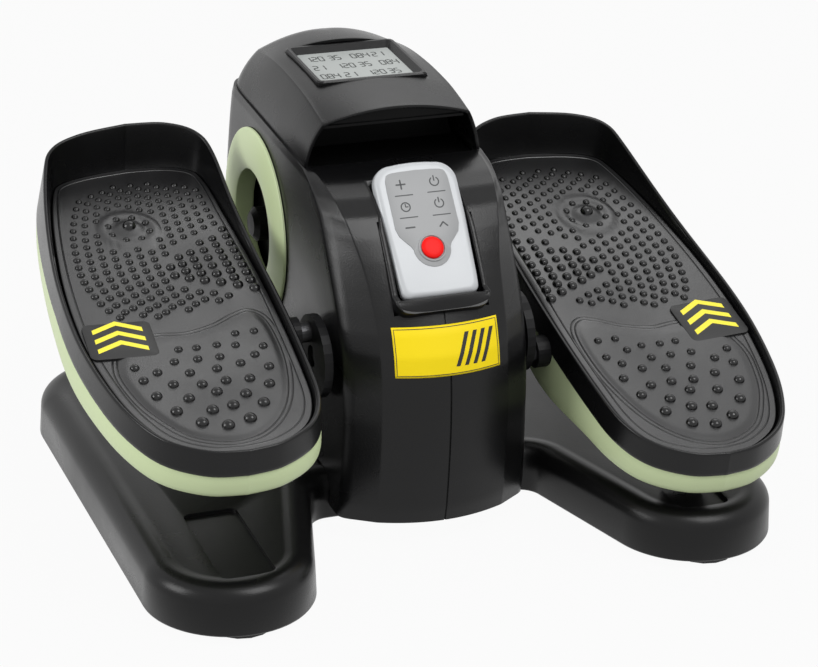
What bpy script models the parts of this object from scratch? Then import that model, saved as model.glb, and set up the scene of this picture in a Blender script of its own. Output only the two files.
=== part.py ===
"""Electric mini elliptical: a motor-driven leg exerciser that stands on the floor under a desk.

Metres, +Z up. The user sits on the -Y side, +X is to the user's right, and the toes point to +Y.
The origin is on the floor, at the middle of the footprint.
"""
import math

import bmesh
import bpy
import numpy as np
from mathutils import Vector

for old in list(bpy.data.objects):
    bpy.data.objects.remove(old, do_unlink=True)

# Clearances and shared walls
GAP = 0.0003
SEAM_HALF = 0.0004
SHELL_WALL = 0.0028

# Base plate: two lobed wings joined under the housing
BASE_UNDERSIDE = 0.006
BASE_TOP = 0.042
BASE_WALL = 0.003
BASE_REAR_Y = 0.2282
BASE_REAR_RADIUS = 0.42
BASE_CORNER_X = 0.174
BASE_CORNER_RADIUS = 0.070
LOBE_X = 0.178
LOBE_Y = -0.1655
LOBE_RADIUS = 0.0625
WING_LEAN = math.radians(16.7)
NOTCH_Y = -0.080
NOTCH_FILLET = 0.016
FOOT_BOSS_RADIUS = 0.0125
FOOT_PAD_RADIUS = 0.024
FOOT_SPOTS = (("front", LOBE_X, LOBE_Y - 0.030), ("rear", BASE_CORNER_X + 0.028, 0.138))

# Roller tracks let into the wings
TRACK_X = 0.174
TRACK_HALF_WIDTH = 0.020
TRACK_FRONT_Y = -0.205
TRACK_REAR_Y = -0.105
TRACK_DEPTH = 0.004

# Central housing
HOUSING_BOTTOM = 0.018
HOUSING_FOOT_HALF = 0.0735
HOUSING_HALF = 0.0715
HOUSING_TOP_HALF = 0.0693
HOUSING_REAR_Y = 0.2105
HOUSING_TOP_REAR_Y = 0.189
PARTING_Z = 0.2555
PARTING_RISE = 0.04
POCKET_DEPTH = 0.047
POCKET_ROOF_Z = 0.284

# Side rings and the axle seen inside them
WHEEL_Y = 0.106
WHEEL_Z = 0.171
RING_RADIUS = 0.0755
RING_INNER_RADIUS = 0.043

# Console top
CREASE_FRONT = Vector((0.0575, -0.0055, 0.289))
CREASE_REAR = Vector((0.0545, 0.154, 0.2940))
SCREEN_Y = 0.0846
SCREEN_Z = 0.3042
SCREEN_TILT = math.radians(1.7)
BEZEL_HALF_X = 0.0440
BEZEL_HALF_Y = 0.0402
LENS_HALF_X = 0.0360
LENS_HALF_Y = 0.0306

# Remote control and its cradle, in a frame that lies on the sloping deck
REMOTE_SEAT = Vector((0.0, -0.109, 0.190))
REMOTE_SLOPE = math.radians(47.8)
REMOTE_LENGTH = 0.102
REMOTE_HALF = 0.031
REMOTE_FOOT_HALF = 0.0285
REMOTE_THICKNESS = 0.0150
BUTTON_ALONG = 0.036
BUTTON_RADIUS = 0.0085
BUTTON_PROUD = 0.0022
BUTTON_TRAVEL = 0.0010
CRADLE_HALF = 0.0366
CRADLE_LOW = -0.0118
CRADLE_HIGH = 0.098

# Crank train
CRANK_Y = -0.0610
CRANK_Z = 0.1318
CRANK_RADIUS = 0.0179
CRANK_PHASE = math.radians(67.2)
CRANK_DISC_RADIUS = 0.031
CRANK_DISC_THICKNESS = 0.0065
AXLE_RADIUS = 0.008
PIN_RADIUS = 0.0075
SIDE_PLATE_X = HOUSING_HALF - 0.0175
SIDE_PLATE_THICKNESS = 0.004
BEARING_RADIUS = 0.0150
BEARING_WIDTH = 0.009
CRANK_PULLEY_RADIUS = 0.048
CRANK_PULLEY_X = SIDE_PLATE_X - 0.023
SMALL_PULLEY_RADIUS = 0.016
DRIVE_WHEEL_RADIUS = 0.055
DRIVE_WHEEL_X = 0.020 - SIDE_PLATE_X
WHEEL_AXLE_RADIUS = 0.006
WHEEL_BEARING_RADIUS = 0.0125
PULLEY_WIDTH = 0.012
BELT_THICKNESS = 0.0022
MOTOR_Y = 0.128
MOTOR_Z = 0.084
MOTOR_RADIUS = 0.027
MOTOR_PULLEY_RADIUS = 0.010
MOTOR_SHAFT_RADIUS = 0.003

# Pedals: u is outwards, v towards the toes and w up from the mat, in the pedal's own frame
PEDAL_X = 0.184
PIVOT_V = -0.0486
PIVOT_W = -0.0202
PEDAL_TILT = {-1: math.radians(11.0), 1: math.radians(16.5)}
BAND_BOTTOM_W = -0.0155
FLOOR_W = -0.0045
FLOOR_THICKNESS = 0.0033
TRAY_WALL = 0.0030
BEARING_TUBE_RADIUS = 0.0121
ROLLER_V = -0.165
ROLLER_U = -0.011
ROLLER_W = -0.0517
ROLLER_RADIUS = 0.0118
ROLLER_HALF_WIDTH = 0.0145
FORK_WALL = 0.002

SIDES = ((-1, "left"), (1, "right"))

parts = bpy.data.collections.new("electric_mini_elliptical")
cutters = bpy.data.collections.new("cutters")
for collection in (parts, cutters):
    bpy.context.scene.collection.children.link(collection)


def material(name, colour, roughness, metallic=0.0):
    """A plain Principled finish, made once for each name."""
    found = bpy.data.materials.get(name)
    if found:
        return found
    made = bpy.data.materials.new(name)
    made.use_nodes = True
    shader = made.node_tree.nodes["Principled BSDF"]
    shader.inputs["Base Color"].default_value = (*colour, 1.0)
    shader.inputs["Roughness"].default_value = roughness
    shader.inputs["Metallic"].default_value = metallic
    return made


BLACK_PLASTIC = material("black_satin_plastic", (0.016, 0.016, 0.017), 0.38)
BASE_PLASTIC = material("black_base_plastic", (0.017, 0.017, 0.018), 0.42)
INNER_PLASTIC = material("black_inner_plastic", (0.010, 0.010, 0.010), 0.55)
GREEN_PLASTIC = material("pale_green_plastic", (0.56, 0.66, 0.42), 0.42)
RUBBER = material("black_rubber", (0.014, 0.014, 0.015), 0.60)
SILVER_PLASTIC = material("silver_gloss_plastic", (0.78, 0.80, 0.83), 0.18)
GREY_FILM = material("grey_key_film", (0.33, 0.34, 0.35), 0.45)
RED_PLASTIC = material("red_button_plastic", (0.80, 0.02, 0.02), 0.35)
YELLOW_FILM = material("yellow_plate_film", (0.93, 0.74, 0.01), 0.40)
SCREEN_GLASS = material("grey_green_screen", (0.30, 0.33, 0.29), 0.20)
STEEL = material("plain_steel", (0.55, 0.56, 0.57), 0.35, 1.0)
DARK_STEEL = material("black_coated_steel", (0.03, 0.03, 0.032), 0.40, 0.8)
BELT_RUBBER = material("belt_rubber", (0.02, 0.02, 0.02), 0.70)
BOARD_GREEN = material("circuit_board", (0.02, 0.14, 0.05), 0.50)
NYLON = material("white_nylon", (0.72, 0.72, 0.70), 0.50)


def link(name, mesh, finish, parent=None, location=(0, 0, 0), rotation=(0, 0, 0)):
    """Put a mesh into the model as one named sub-part."""
    piece = bpy.data.objects.new(name, mesh)
    parts.objects.link(piece)
    mesh.materials.clear()
    mesh.materials.append(finish)
    piece.parent = parent
    piece.location = location
    piece.rotation_euler = rotation
    return piece


def pivot(name, location, rotation=(0, 0, 0), parent=None):
    """An empty that stands on a joint's axis and carries the pieces that move about it."""
    empty = bpy.data.objects.new(name, None)
    parts.objects.link(empty)
    empty.location = location
    empty.rotation_euler = rotation
    empty.parent = parent
    return empty


def mesh_from_bmesh(name, work, sharp=35.0):
    """Close a bmesh with its faces pointing out, shade it smooth and keep its hard edges."""
    bmesh.ops.remove_doubles(work, verts=work.verts, dist=0.000001)
    bmesh.ops.recalc_face_normals(work, faces=work.faces)
    if work.calc_volume(signed=True) < 0:
        bmesh.ops.reverse_faces(work, faces=work.faces)
    mesh = bpy.data.meshes.new(name)
    work.to_mesh(mesh)
    work.free()
    mesh.shade_smooth()
    mesh.set_sharp_from_angle(angle=math.radians(sharp))
    return mesh


def box_mesh(name, low, high):
    """A box between two corners."""
    work = bmesh.new()
    bmesh.ops.create_cube(work, size=1.0)
    low, high = Vector(low), Vector(high)
    bmesh.ops.scale(work, vec=high - low, verts=work.verts)
    bmesh.ops.translate(work, vec=(high + low) / 2, verts=work.verts)
    return mesh_from_bmesh(name, work)


def rod_mesh(name, radius, start, end, segments=24, end_radius=None):
    """A round bar along X from start to end, about the object's own origin."""
    work = bmesh.new()
    other = radius if end_radius is None else end_radius
    bmesh.ops.create_cone(work, cap_ends=True, segments=segments, radius1=radius, radius2=other, depth=end - start)
    for vert in work.verts:
        x, y, z = vert.co
        vert.co = (z + (start + end) / 2, y, -x)
    return mesh_from_bmesh(name, work)


def turned(name, profile, finish, centre, steps=32, closed=True, parent=None):
    """Turn a profile of (radius, x) points about the X axis through a centre, with a Screw modifier.

    The points run down the outer side, from the greatest x to the least, and back up the bore.
    """
    work = bmesh.new()
    verts = [work.verts.new((radius, 0.0, x)) for radius, x in profile]
    for first, second in zip(verts, verts[1:]):
        work.edges.new((first, second))
    if closed:
        work.edges.new((verts[-1], verts[0]))
    mesh = bpy.data.meshes.new(name)
    work.to_mesh(mesh)
    work.free()
    piece = link(name, mesh, finish, parent, centre, (0, math.pi / 2, 0))
    screw = piece.modifiers.new("turn", "SCREW")
    screw.axis = "Z"
    screw.angle = math.tau
    screw.steps = steps
    screw.render_steps = steps
    screw.use_merge_vertices = True
    screw.merge_threshold = 0.00001
    screw.use_smooth_shade = True
    return piece


def plate_mesh(name, loops, thickness):
    """A flat plate in the XY plane from closed loops of points; loops inside the first are holes."""
    curve = bpy.data.curves.new(name + "_outline", "CURVE")
    curve.dimensions = "2D"
    curve.fill_mode = "BOTH"
    curve.extrude = thickness / 2
    for loop in loops:
        spline = curve.splines.new("POLY")
        spline.points.add(len(loop) - 1)
        for point, (x, y) in zip(spline.points, loop):
            point.co = (x, y, 0.0, 1.0)
        spline.use_cyclic_u = True
    holder = bpy.data.objects.new(name + "_outline", curve)
    cutters.objects.link(holder)
    shape = bpy.data.meshes.new_from_object(holder.evaluated_get(bpy.context.evaluated_depsgraph_get()))
    bpy.data.objects.remove(holder, do_unlink=True)
    work = bmesh.new()
    work.from_mesh(shape)
    bmesh.ops.remove_doubles(work, verts=work.verts, dist=0.00001)
    bpy.data.meshes.remove(shape)
    return mesh_from_bmesh(name, work)


def circle(centre_x, centre_y, radius, count=24):
    """A round loop of points."""
    return [(centre_x + radius * math.cos(math.tau * i / count), centre_y + radius * math.sin(math.tau * i / count))
            for i in range(count)]


def arc(centre, radius, start, end, count):
    """Points along an arc, angles in radians."""
    return [(centre[0] + radius * math.cos(start + (end - start) * i / count),
             centre[1] + radius * math.sin(start + (end - start) * i / count)) for i in range(count + 1)]


def loft_mesh(name, rings, caps="both", sharp=35.0):
    """Skin rings of equal length. A ladder cap joins point i with point -i, so it follows a curved end."""
    rings = [np.asarray(ring, float) for ring in rings]
    work = bmesh.new()
    rows = [[work.verts.new(point) for point in ring] for ring in rings]
    count = len(rows[0])
    for lower, upper in zip(rows, rows[1:]):
        for i in range(count):
            j = (i + 1) % count
            work.faces.new((lower[i], lower[j], upper[j], upper[i]))
    if caps == "both":
        work.faces.new(rows[0])
        work.faces.new(rows[-1])
    if caps == "ladder":
        for row in (rows[0], rows[-1]):
            work.faces.new((row[0], row[1], row[-1]))
            for i in range(1, count // 2 - 1):
                work.faces.new((row[i], row[i + 1], row[-i - 1], row[-i]))
            middle = count // 2
            work.faces.new((row[middle - 1], row[middle], row[middle + 1]))
    return mesh_from_bmesh(name, work, sharp)


def grid_surface(work, points):
    """Faces over a grid of points, returned as rows of vertices."""
    rows = [[work.verts.new(point) for point in row] for row in points]
    for lower, upper in zip(rows, rows[1:]):
        for i in range(len(lower) - 1):
            work.faces.new((lower[i], lower[i + 1], upper[i + 1], upper[i]))
    return rows


def as_cutter(mesh, name, parent=None, location=(0, 0, 0), rotation=(0, 0, 0)):
    """A tool body for a Boolean, kept out of the finished object."""
    tool = bpy.data.objects.new(name, mesh)
    cutters.objects.link(tool)
    tool.hide_render = True
    tool.display_type = "WIRE"
    tool.parent = parent
    tool.location = location
    tool.rotation_euler = rotation
    return tool


def boolean(piece, tool, operation="DIFFERENCE"):
    """Cut or join with the exact solver."""
    step = piece.modifiers.new(tool.name, "BOOLEAN")
    step.operation = operation
    step.solver = "EXACT"
    step.object = tool


def join_bodies(piece, meshes):
    """Join further bodies of one piece onto it."""
    for number, mesh in enumerate(meshes):
        tool = as_cutter(mesh, f"{piece.name}_body_{number}", piece.parent, piece.location, piece.rotation_euler)
        boolean(piece, tool, "UNION")


def base_outline(inset):
    """The base's plan at an inset from its widest line: arcs and the lines that touch them both.

    The rear edge is a shallow arc that runs on into the corner arc, which it touches from inside.
    The corner and lobe arcs share an outer tangent. The wing's inner edge leaves the lobe along a
    line that leans in towards the rear, and a hollow fillet turns it into the notch.
    """
    rear_centre_y = BASE_REAR_Y - BASE_REAR_RADIUS
    reach = BASE_REAR_RADIUS - BASE_CORNER_RADIUS
    corner = (BASE_CORNER_X, rear_centre_y + math.sqrt(reach ** 2 - BASE_CORNER_X ** 2))
    meet = math.atan2(corner[1] - rear_centre_y, corner[0])
    lobe = (LOBE_X, LOBE_Y)
    run = math.hypot(lobe[0] - corner[0], lobe[1] - corner[1])
    heading = math.atan2(lobe[1] - corner[1], lobe[0] - corner[0])
    side = heading + math.acos((LOBE_RADIUS - BASE_CORNER_RADIUS) / run)
    sine, cosine = math.sin(WING_LEAN), math.cos(WING_LEAN)
    fillet_y = NOTCH_Y - NOTCH_FILLET
    length = (fillet_y + NOTCH_FILLET * sine - LOBE_Y + LOBE_RADIUS * sine) / cosine
    fillet_x = LOBE_X - (LOBE_RADIUS + NOTCH_FILLET) * cosine - length * sine
    half = arc((0, rear_centre_y), BASE_REAR_RADIUS - inset, math.pi / 2, meet, 5)[:-1]
    half += arc(corner, BASE_CORNER_RADIUS - inset, meet, side, 6)
    half += arc(lobe, LOBE_RADIUS - inset, side, WING_LEAN - math.pi, 11)
    half += arc((fillet_x, fillet_y), NOTCH_FILLET + inset, WING_LEAN, math.pi / 2, 4)
    mirrored = [(-x, y) for x, y in reversed(half[1:])]
    return half + mirrored


def base_ring(z, inset):
    """The base's plan as a ring of 3-D points."""
    return [(x, y, z) for x, y in base_outline(inset)]


def foot_post(side, x, y, radius, low, high):
    """A round post at one foot's place."""
    post = rod_mesh("post", radius, low, high, 16)
    for vert in post.vertices:
        along, across, rise = vert.co
        vert.co = (side * x - rise, y + across, along)
    return post


def build_base():
    """The moulded base: a skin with a rounded upper edge, open below, with pans for the tracks."""
    outer = [(BASE_UNDERSIDE, 0.0015), (BASE_UNDERSIDE + 0.003, 0.0), (BASE_TOP - 0.0125, 0.0012),
             (BASE_TOP - 0.0065, 0.0030), (BASE_TOP - 0.0025, 0.0062), (BASE_TOP - 0.0006, 0.0102), (BASE_TOP, 0.0150)]
    inner = [(BASE_TOP - BASE_WALL, 0.0150), (BASE_TOP - 0.0090, 0.0065), (BASE_UNDERSIDE, 0.0015 + BASE_WALL)]
    rings = [base_ring(z, inset) for z, inset in inner + outer]
    base = link("base_plate", loft_mesh("base_plate", rings), BASE_PLASTIC)
    pan_floor = BASE_TOP - TRACK_DEPTH - BASE_WALL
    for side, label in SIDES:
        pan = box_mesh("pan", (TRACK_X - TRACK_HALF_WIDTH - BASE_WALL, TRACK_FRONT_Y - BASE_WALL, pan_floor),
                       (TRACK_X + TRACK_HALF_WIDTH + BASE_WALL, TRACK_REAR_Y + BASE_WALL, BASE_TOP - BASE_WALL / 2))
        groove = box_mesh("groove", (TRACK_X - TRACK_HALF_WIDTH, TRACK_FRONT_Y, BASE_TOP - TRACK_DEPTH),
                          (TRACK_X + TRACK_HALF_WIDTH, TRACK_REAR_Y, BASE_TOP + 0.01))
        for mesh in (pan, groove):
            for vert in mesh.vertices:
                vert.co.x *= side
            if side < 0:
                mesh.flip_normals()
        boolean(base, as_cutter(pan, f"{label}_track_pan"), "UNION")
        for end, x, y in FOOT_SPOTS:
            boss = foot_post(side, x, y, FOOT_BOSS_RADIUS, BASE_UNDERSIDE, BASE_TOP - BASE_WALL / 2)
            boolean(base, as_cutter(boss, f"{end}_{label}_boss"), "UNION")
        boolean(base, as_cutter(groove, f"{label}_track_groove"))
    ribs = plate_mesh("cross_ribs", [[(-0.20, 0.040), (0.20, 0.040), (0.20, 0.043), (-0.20, 0.043)]], 0.026)
    boolean(base, as_cutter(ribs, "cross_rib", None, (0, 0, BASE_TOP - BASE_WALL / 2 - 0.013)), "UNION")
    return base


def build_feet():
    """Four rubber feet under the base's bosses."""
    for side, label in SIDES:
        for end, x, y in FOOT_SPOTS:
            link(f"{end}_{label}_foot", foot_post(side, x, y, FOOT_PAD_RADIUS, 0.0, BASE_UNDERSIDE - GAP), RUBBER)


FRONT_Z = [0.018, 0.030, 0.055, 0.080, 0.100, 0.120, 0.135, 0.150, 0.165, 0.180, 0.195, 0.210, 0.225, 0.237,
           0.246, 0.252, PARTING_Z - 0.0004, PARTING_Z, PARTING_Z + 0.012]
FRONT_Y = [-0.1285, -0.1310, -0.1327, -0.1335, -0.1333, -0.1322, -0.1303, -0.1268, -0.1200, -0.1105, -0.0998,
           -0.0885, -0.0765, -0.0648, -0.0500, -0.0320, -0.0160, -0.0040, -0.0035]


def front_y(z):
    """The housing's centre line in front, steep below and flattening into the deck above."""
    return float(np.interp(z, FRONT_Z, FRONT_Y))


def share(z):
    """How far a height is from the straight foot of the front to its top, from 0 to 1."""
    return min(max((z - 0.15) / (PARTING_Z - 0.15), 0.0), 1.0)


def front_edge(z):
    """Half the width of the crowned face between its two upright creases, which part towards the deck."""
    return float(np.interp(z, [0.150, 0.181, 0.204, 0.223, 0.246, PARTING_Z],
                           [0.0492, 0.0500, 0.0520, 0.0560, 0.0620, 0.0650]))


def front_point(x, z, proud=0.0):
    """A point of the crowned front face, and of a face that stands proud of it."""
    crown = 0.0107 * (1 - share(z)) + 0.0010 * share(z)
    return (x, front_y(z) - proud + crown * (x / front_edge(z)) ** 2, z)


def half_width(z):
    """Half the housing's width: drafted at the foot, flat at the sides, drawn in at the parting line."""
    return float(np.interp(z, [HOUSING_BOTTOM, 0.085, 0.250, PARTING_Z + 0.01],
                           [HOUSING_FOOT_HALF, HOUSING_HALF, HOUSING_HALF, HOUSING_TOP_HALF]))


def rear_y(z):
    """The housing's rear line, bulged low down and drawn in towards the console."""
    return float(np.interp(z, [HOUSING_BOTTOM, 0.050, 0.150, 0.190, 0.220, 0.245, PARTING_Z + 0.008],
                           [0.2045, HOUSING_REAR_Y, HOUSING_REAR_Y, 0.2070, 0.2020, 0.1955, HOUSING_TOP_REAR_Y]))


def rear_plan(width, rear):
    """Half the plan behind the sides: a rounded corner and a flat back, as (x, y) points."""
    return [(width, rear - 0.036), (width - 0.0030, rear - 0.020), (width - 0.0120, rear - 0.0072),
            (width - 0.0260, rear - 0.0010), (0.024, rear)]


def housing_row(z):
    """Half a plan section of the housing at one height, from the front seam to the rear seam."""
    edge, width = front_edge(z), half_width(z)
    row = [front_point(x, z) for x in (SEAM_HALF, edge / 3, 2 * edge / 3, edge)]
    chamfer = float(np.interp(z, [0.100, 0.190, 0.224, 0.246, PARTING_Z], [0.019, 0.022, 0.023, 0.020, 0.012]))
    corner_y = row[-1][1] + chamfer
    row.append((max(width - 0.0035, edge + 0.0005), corner_y - 0.28 * chamfer, z))
    row.append((width, corner_y, z))
    back = rear_plan(width, rear_y(z))
    for part in (0.25, 0.62):
        row.append((width, corner_y + (back[0][1] - corner_y) * part, z))
    row += [(x, y, z) for x, y in back]
    row.append((SEAM_HALF, rear_y(z), z))
    return row


def parting_height(y):
    """The joint between housing and console, which climbs a little to the rear."""
    return PARTING_Z + PARTING_RISE * max(y, 0.0)


def parting_cutter(name, above):
    """A tool body for everything above the joint, or for everything below it and its gap."""
    reach, far = 0.14, 0.30
    if above:
        line = [(-0.25, parting_height(0.0)), (0.0, parting_height(0.0)), (far, parting_height(far))]
        section = line + [(far, 0.40), (-0.25, 0.40)]
    else:
        line = [(far, parting_height(far) + GAP), (0.0, parting_height(0.0) + GAP), (-0.25, parting_height(0.0) + GAP)]
        section = line + [(-0.25, 0.0), (far, 0.0)]
    rings = [[(side * reach, y, z) for y, z in section] for side in (-1, 1)]
    return as_cutter(loft_mesh(name, rings), name)


def base_clearance():
    """A tool body for the space under the housing: it trims the foot level and clears the base."""
    foot, step = HOUSING_BOTTOM + 2 * GAP, NOTCH_Y - GAP
    section = [(-0.20, -0.01), (0.30, -0.01), (0.30, BASE_TOP + GAP), (step, BASE_TOP + GAP), (step, foot), (-0.20, foot)]
    return as_cutter(loft_mesh("base_clearance", [[(side * 0.12, y, z) for y, z in section] for side in (-1, 1)]),
                     "base_clearance")


def cradle_half(along):
    """Half the cradle's width: a broad dock round the remote's lower half, and a narrow bed above it."""
    return float(np.interp(along, [0.056, 0.062, 0.067], [CRADLE_HALF, CRADLE_HALF - 0.0010, REMOTE_HALF + 0.0032]))


def cradle_outline(grow):
    """The cradle's plan on the deck's slope, grown by a clearance."""
    right = [(cradle_half(s) + grow, s) for s in (0.056, 0.062, 0.067)]
    right = [(CRADLE_HALF + grow, CRADLE_LOW - grow)] + right
    right.append((cradle_half(CRADLE_HIGH) + grow, CRADLE_HIGH + grow))
    return right + [(-x, s) for x, s in reversed(right)]


def build_housing():
    """Left and right half shells, split down the middle, with the openings that the other pieces need."""
    levels = FRONT_Z
    tools = [
        parting_cutter("above_parting", True),
        base_clearance(),
        as_cutter(rod_mesh("axle_hole", AXLE_RADIUS + 0.003, -0.1, 0.1), "axle_hole", None, (0, CRANK_Y, CRANK_Z)),
        as_cutter(rod_mesh("ring_hole", RING_INNER_RADIUS + 0.0035, -0.1, 0.1, 40), "ring_hole", None,
                  (0, WHEEL_Y, WHEEL_Z)),
        as_cutter(plate_mesh("cradle_hole", [cradle_outline(GAP)], 0.054), "cradle_hole", None,
                  REMOTE_SEAT + Vector((0, -math.sin(REMOTE_SLOPE), math.cos(REMOTE_SLOPE))) * 0.003,
                  (REMOTE_SLOPE, 0, 0)),
        as_cutter(box_mesh("inlet_hole", (0.010 - GAP, 0.19, 0.064 - GAP), (0.038 + GAP, 0.23, 0.084 + GAP)),
                  "inlet_hole"),
        as_cutter(box_mesh("switch_hole", (-0.034 - GAP, 0.19, 0.064 - GAP), (-0.014 + GAP, 0.23, 0.084 + GAP)),
                  "switch_hole"),
    ]
    for side, label in SIDES:
        points = [[(side * x, y, z) for x, y, z in housing_row(z)] for z in levels]
        work = bmesh.new()
        grid_surface(work, points)
        bmesh.ops.recalc_face_normals(work, faces=work.faces)
        mesh = bpy.data.meshes.new(f"{label}_housing")
        outward = sum((face.normal.x * side for face in work.faces)) > 0
        if not outward:
            bmesh.ops.reverse_faces(work, faces=work.faces)
        work.to_mesh(mesh)
        work.free()
        mesh.shade_smooth()
        mesh.set_sharp_from_angle(angle=math.radians(30))
        shell = link(f"{label}_housing", mesh, BLACK_PLASTIC)
        wall = shell.modifiers.new("wall", "SOLIDIFY")
        wall.thickness = SHELL_WALL
        wall.offset = -1
        for tool in tools:
            boolean(shell, tool)


def crease_point(y):
    """The crisp edge where the console's side skirt meets its top: it rises and dips from front to rear."""
    keys = np.array([CREASE_FRONT, (0.0575, 0.030, 0.2960), (0.0572, 0.060, 0.2988), (0.0568, 0.090, 0.2995),
                     (0.0560, 0.120, 0.2985), CREASE_REAR])
    return Vector((float(np.interp(y, keys[:, 1], keys[:, 0])), y, float(np.interp(y, keys[:, 1], keys[:, 2]))))


def spine_z(y):
    """The height of the console's crown along its middle."""
    return float(np.interp(y, [-0.006, 0.03, 0.06, 0.09, 0.12, 0.14, 0.152, 0.165],
                           [0.2980, 0.3022, 0.3048, 0.3070, 0.3088, 0.3090, 0.3082, 0.3050]))


def console_columns():
    """Foot, crease and crown of each rib of the console, from the pocket round to the middle of the rear."""
    columns = []
    width = HOUSING_TOP_HALF
    for y in (0.0, 0.022, 0.046, 0.084, 0.123):
        crease = crease_point(y - 0.0055)
        columns.append(((width, y, parting_height(y) - 0.002), tuple(crease), (0.0, crease.y, spine_z(crease.y))))
    rear = rear_plan(width, HOUSING_TOP_REAR_Y) + [(0.0, HOUSING_TOP_REAR_Y)]
    creases = [tuple(CREASE_REAR), (0.0495, 0.1640, 0.2920), (0.0425, 0.1715, 0.2900), (0.0315, 0.1760, 0.2885),
               (0.0172, 0.1780, 0.2875), (0.0, 0.1785, 0.2870)]
    crowns = [0.146, 0.150, 0.154, 0.158, 0.162, 0.165]
    for (x, y), crease, crown in zip(rear, creases, crowns):
        columns.append(((x, y, parting_height(y) - 0.002), crease, (0.0, crown, spine_z(crown))))
    return columns


def build_console():
    """The console's top cover: a crowned cap with side skirts, cut for the display."""
    rows = []
    for foot, crease, crown in console_columns():
        foot, crease, crown = Vector(foot), Vector(crease), Vector(crown)
        middle = foot.lerp(crease, 0.55) + Vector((0.0014 if foot.x > 0.001 else 0.0, 0.0008, 0.0012))
        row = [foot, middle, crease]
        for part in (0.18, 0.42, 0.70, 1.0):
            point = crease.lerp(crown, part)
            point.z = crease.z + (crown.z - crease.z) * (1 - (1 - part) ** 2)
            row.append(point)
        rows.append(row)
    rows[-1] = [Vector((0.0, point.y, point.z)) for point in rows[-1]]
    work = bmesh.new()
    grid_surface(work, rows)
    bmesh.ops.remove_doubles(work, verts=work.verts, dist=0.00001)
    bmesh.ops.recalc_face_normals(work, faces=work.faces)
    if sum(face.normal.z for face in work.faces) < 0:
        bmesh.ops.reverse_faces(work, faces=work.faces)
    mesh = bpy.data.meshes.new("console_cover")
    work.to_mesh(mesh)
    work.free()
    mesh.shade_smooth()
    mesh.set_sharp_from_angle(angle=math.radians(25))
    cover = link("console_cover", mesh, BLACK_PLASTIC)
    mirror = cover.modifiers.new("mirror", "MIRROR")
    mirror.use_clip = True
    mirror.merge_threshold = 0.0001
    wall = cover.modifiers.new("wall", "SOLIDIFY")
    wall.thickness = 0.0025
    wall.offset = -1
    hole = box_mesh("display_hole", (-BEZEL_HALF_X - GAP, -BEZEL_HALF_Y - GAP, -0.03),
                    (BEZEL_HALF_X + GAP, BEZEL_HALF_Y + GAP, 0.03))
    boolean(cover, as_cutter(hole, "display_hole", None, (0, SCREEN_Y, SCREEN_Z), (SCREEN_TILT, 0, 0)))
    boolean(cover, parting_cutter("below_parting", False))


def rectangle(half_x, half_y, radius=0.0, steps=3):
    """A rectangle's loop, with rounded corners where a radius is given."""
    if radius == 0.0:
        return [(-half_x, -half_y), (half_x, -half_y), (half_x, half_y), (-half_x, half_y)]
    loop = []
    for quarter, (sx, sy) in enumerate(((1, 1), (-1, 1), (-1, -1), (1, -1))):
        centre = (sx * (half_x - radius), sy * (half_y - radius))
        loop += arc(centre, radius, quarter * math.pi / 2, (quarter + 1) * math.pi / 2, steps)
    return loop


def build_display():
    """The display: a tapered bezel frame, a recessed lens and the board under it."""
    seat = pivot("display_seat", (0, SCREEN_Y, SCREEN_Z), (SCREEN_TILT, 0, 0))
    lip, sill, foot = 0.0008, -0.0045, -0.0100
    rings = [[(x, y, foot) for x, y in rectangle(LENS_HALF_X, LENS_HALF_Y, 0.001, 2)],
             [(x, y, foot) for x, y in rectangle(BEZEL_HALF_X, BEZEL_HALF_Y, 0.004, 2)],
             [(x, y, lip - 0.001) for x, y in rectangle(BEZEL_HALF_X, BEZEL_HALF_Y, 0.004, 2)],
             [(x, y, lip) for x, y in rectangle(BEZEL_HALF_X - 0.001, BEZEL_HALF_Y - 0.001, 0.004, 2)],
             [(x, y, lip) for x, y in rectangle(BEZEL_HALF_X - 0.003, BEZEL_HALF_Y - 0.003, 0.003, 2)],
             [(x, y, sill) for x, y in rectangle(LENS_HALF_X, LENS_HALF_Y, 0.001, 2)]]
    link("display_bezel", loft_mesh("display_bezel", rings + rings[:1], caps="none"), BLACK_PLASTIC, seat)
    lens = box_mesh("display_lens", (-LENS_HALF_X + GAP, -LENS_HALF_Y + GAP, sill - 0.0045),
                    (LENS_HALF_X - GAP, LENS_HALF_Y - GAP, sill - 0.0020))
    link("display_lens", lens, SCREEN_GLASS, seat)
    board = link("display_board", box_mesh("display_board", (-LENS_HALF_X - 0.004, -LENS_HALF_Y - 0.004, foot - 0.0019),
                                           (LENS_HALF_X + 0.004, LENS_HALF_Y + 0.004, foot - GAP)), BOARD_GREEN, seat)
    chips = [box_mesh("chip", (-0.012, -0.008, foot - 0.0040), (0.004, 0.008, foot - 0.0018)),
             box_mesh("socket", (0.016, 0.004, foot - 0.0060), (0.028, 0.012, foot - 0.0018))]
    join_bodies(board, chips)


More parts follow.
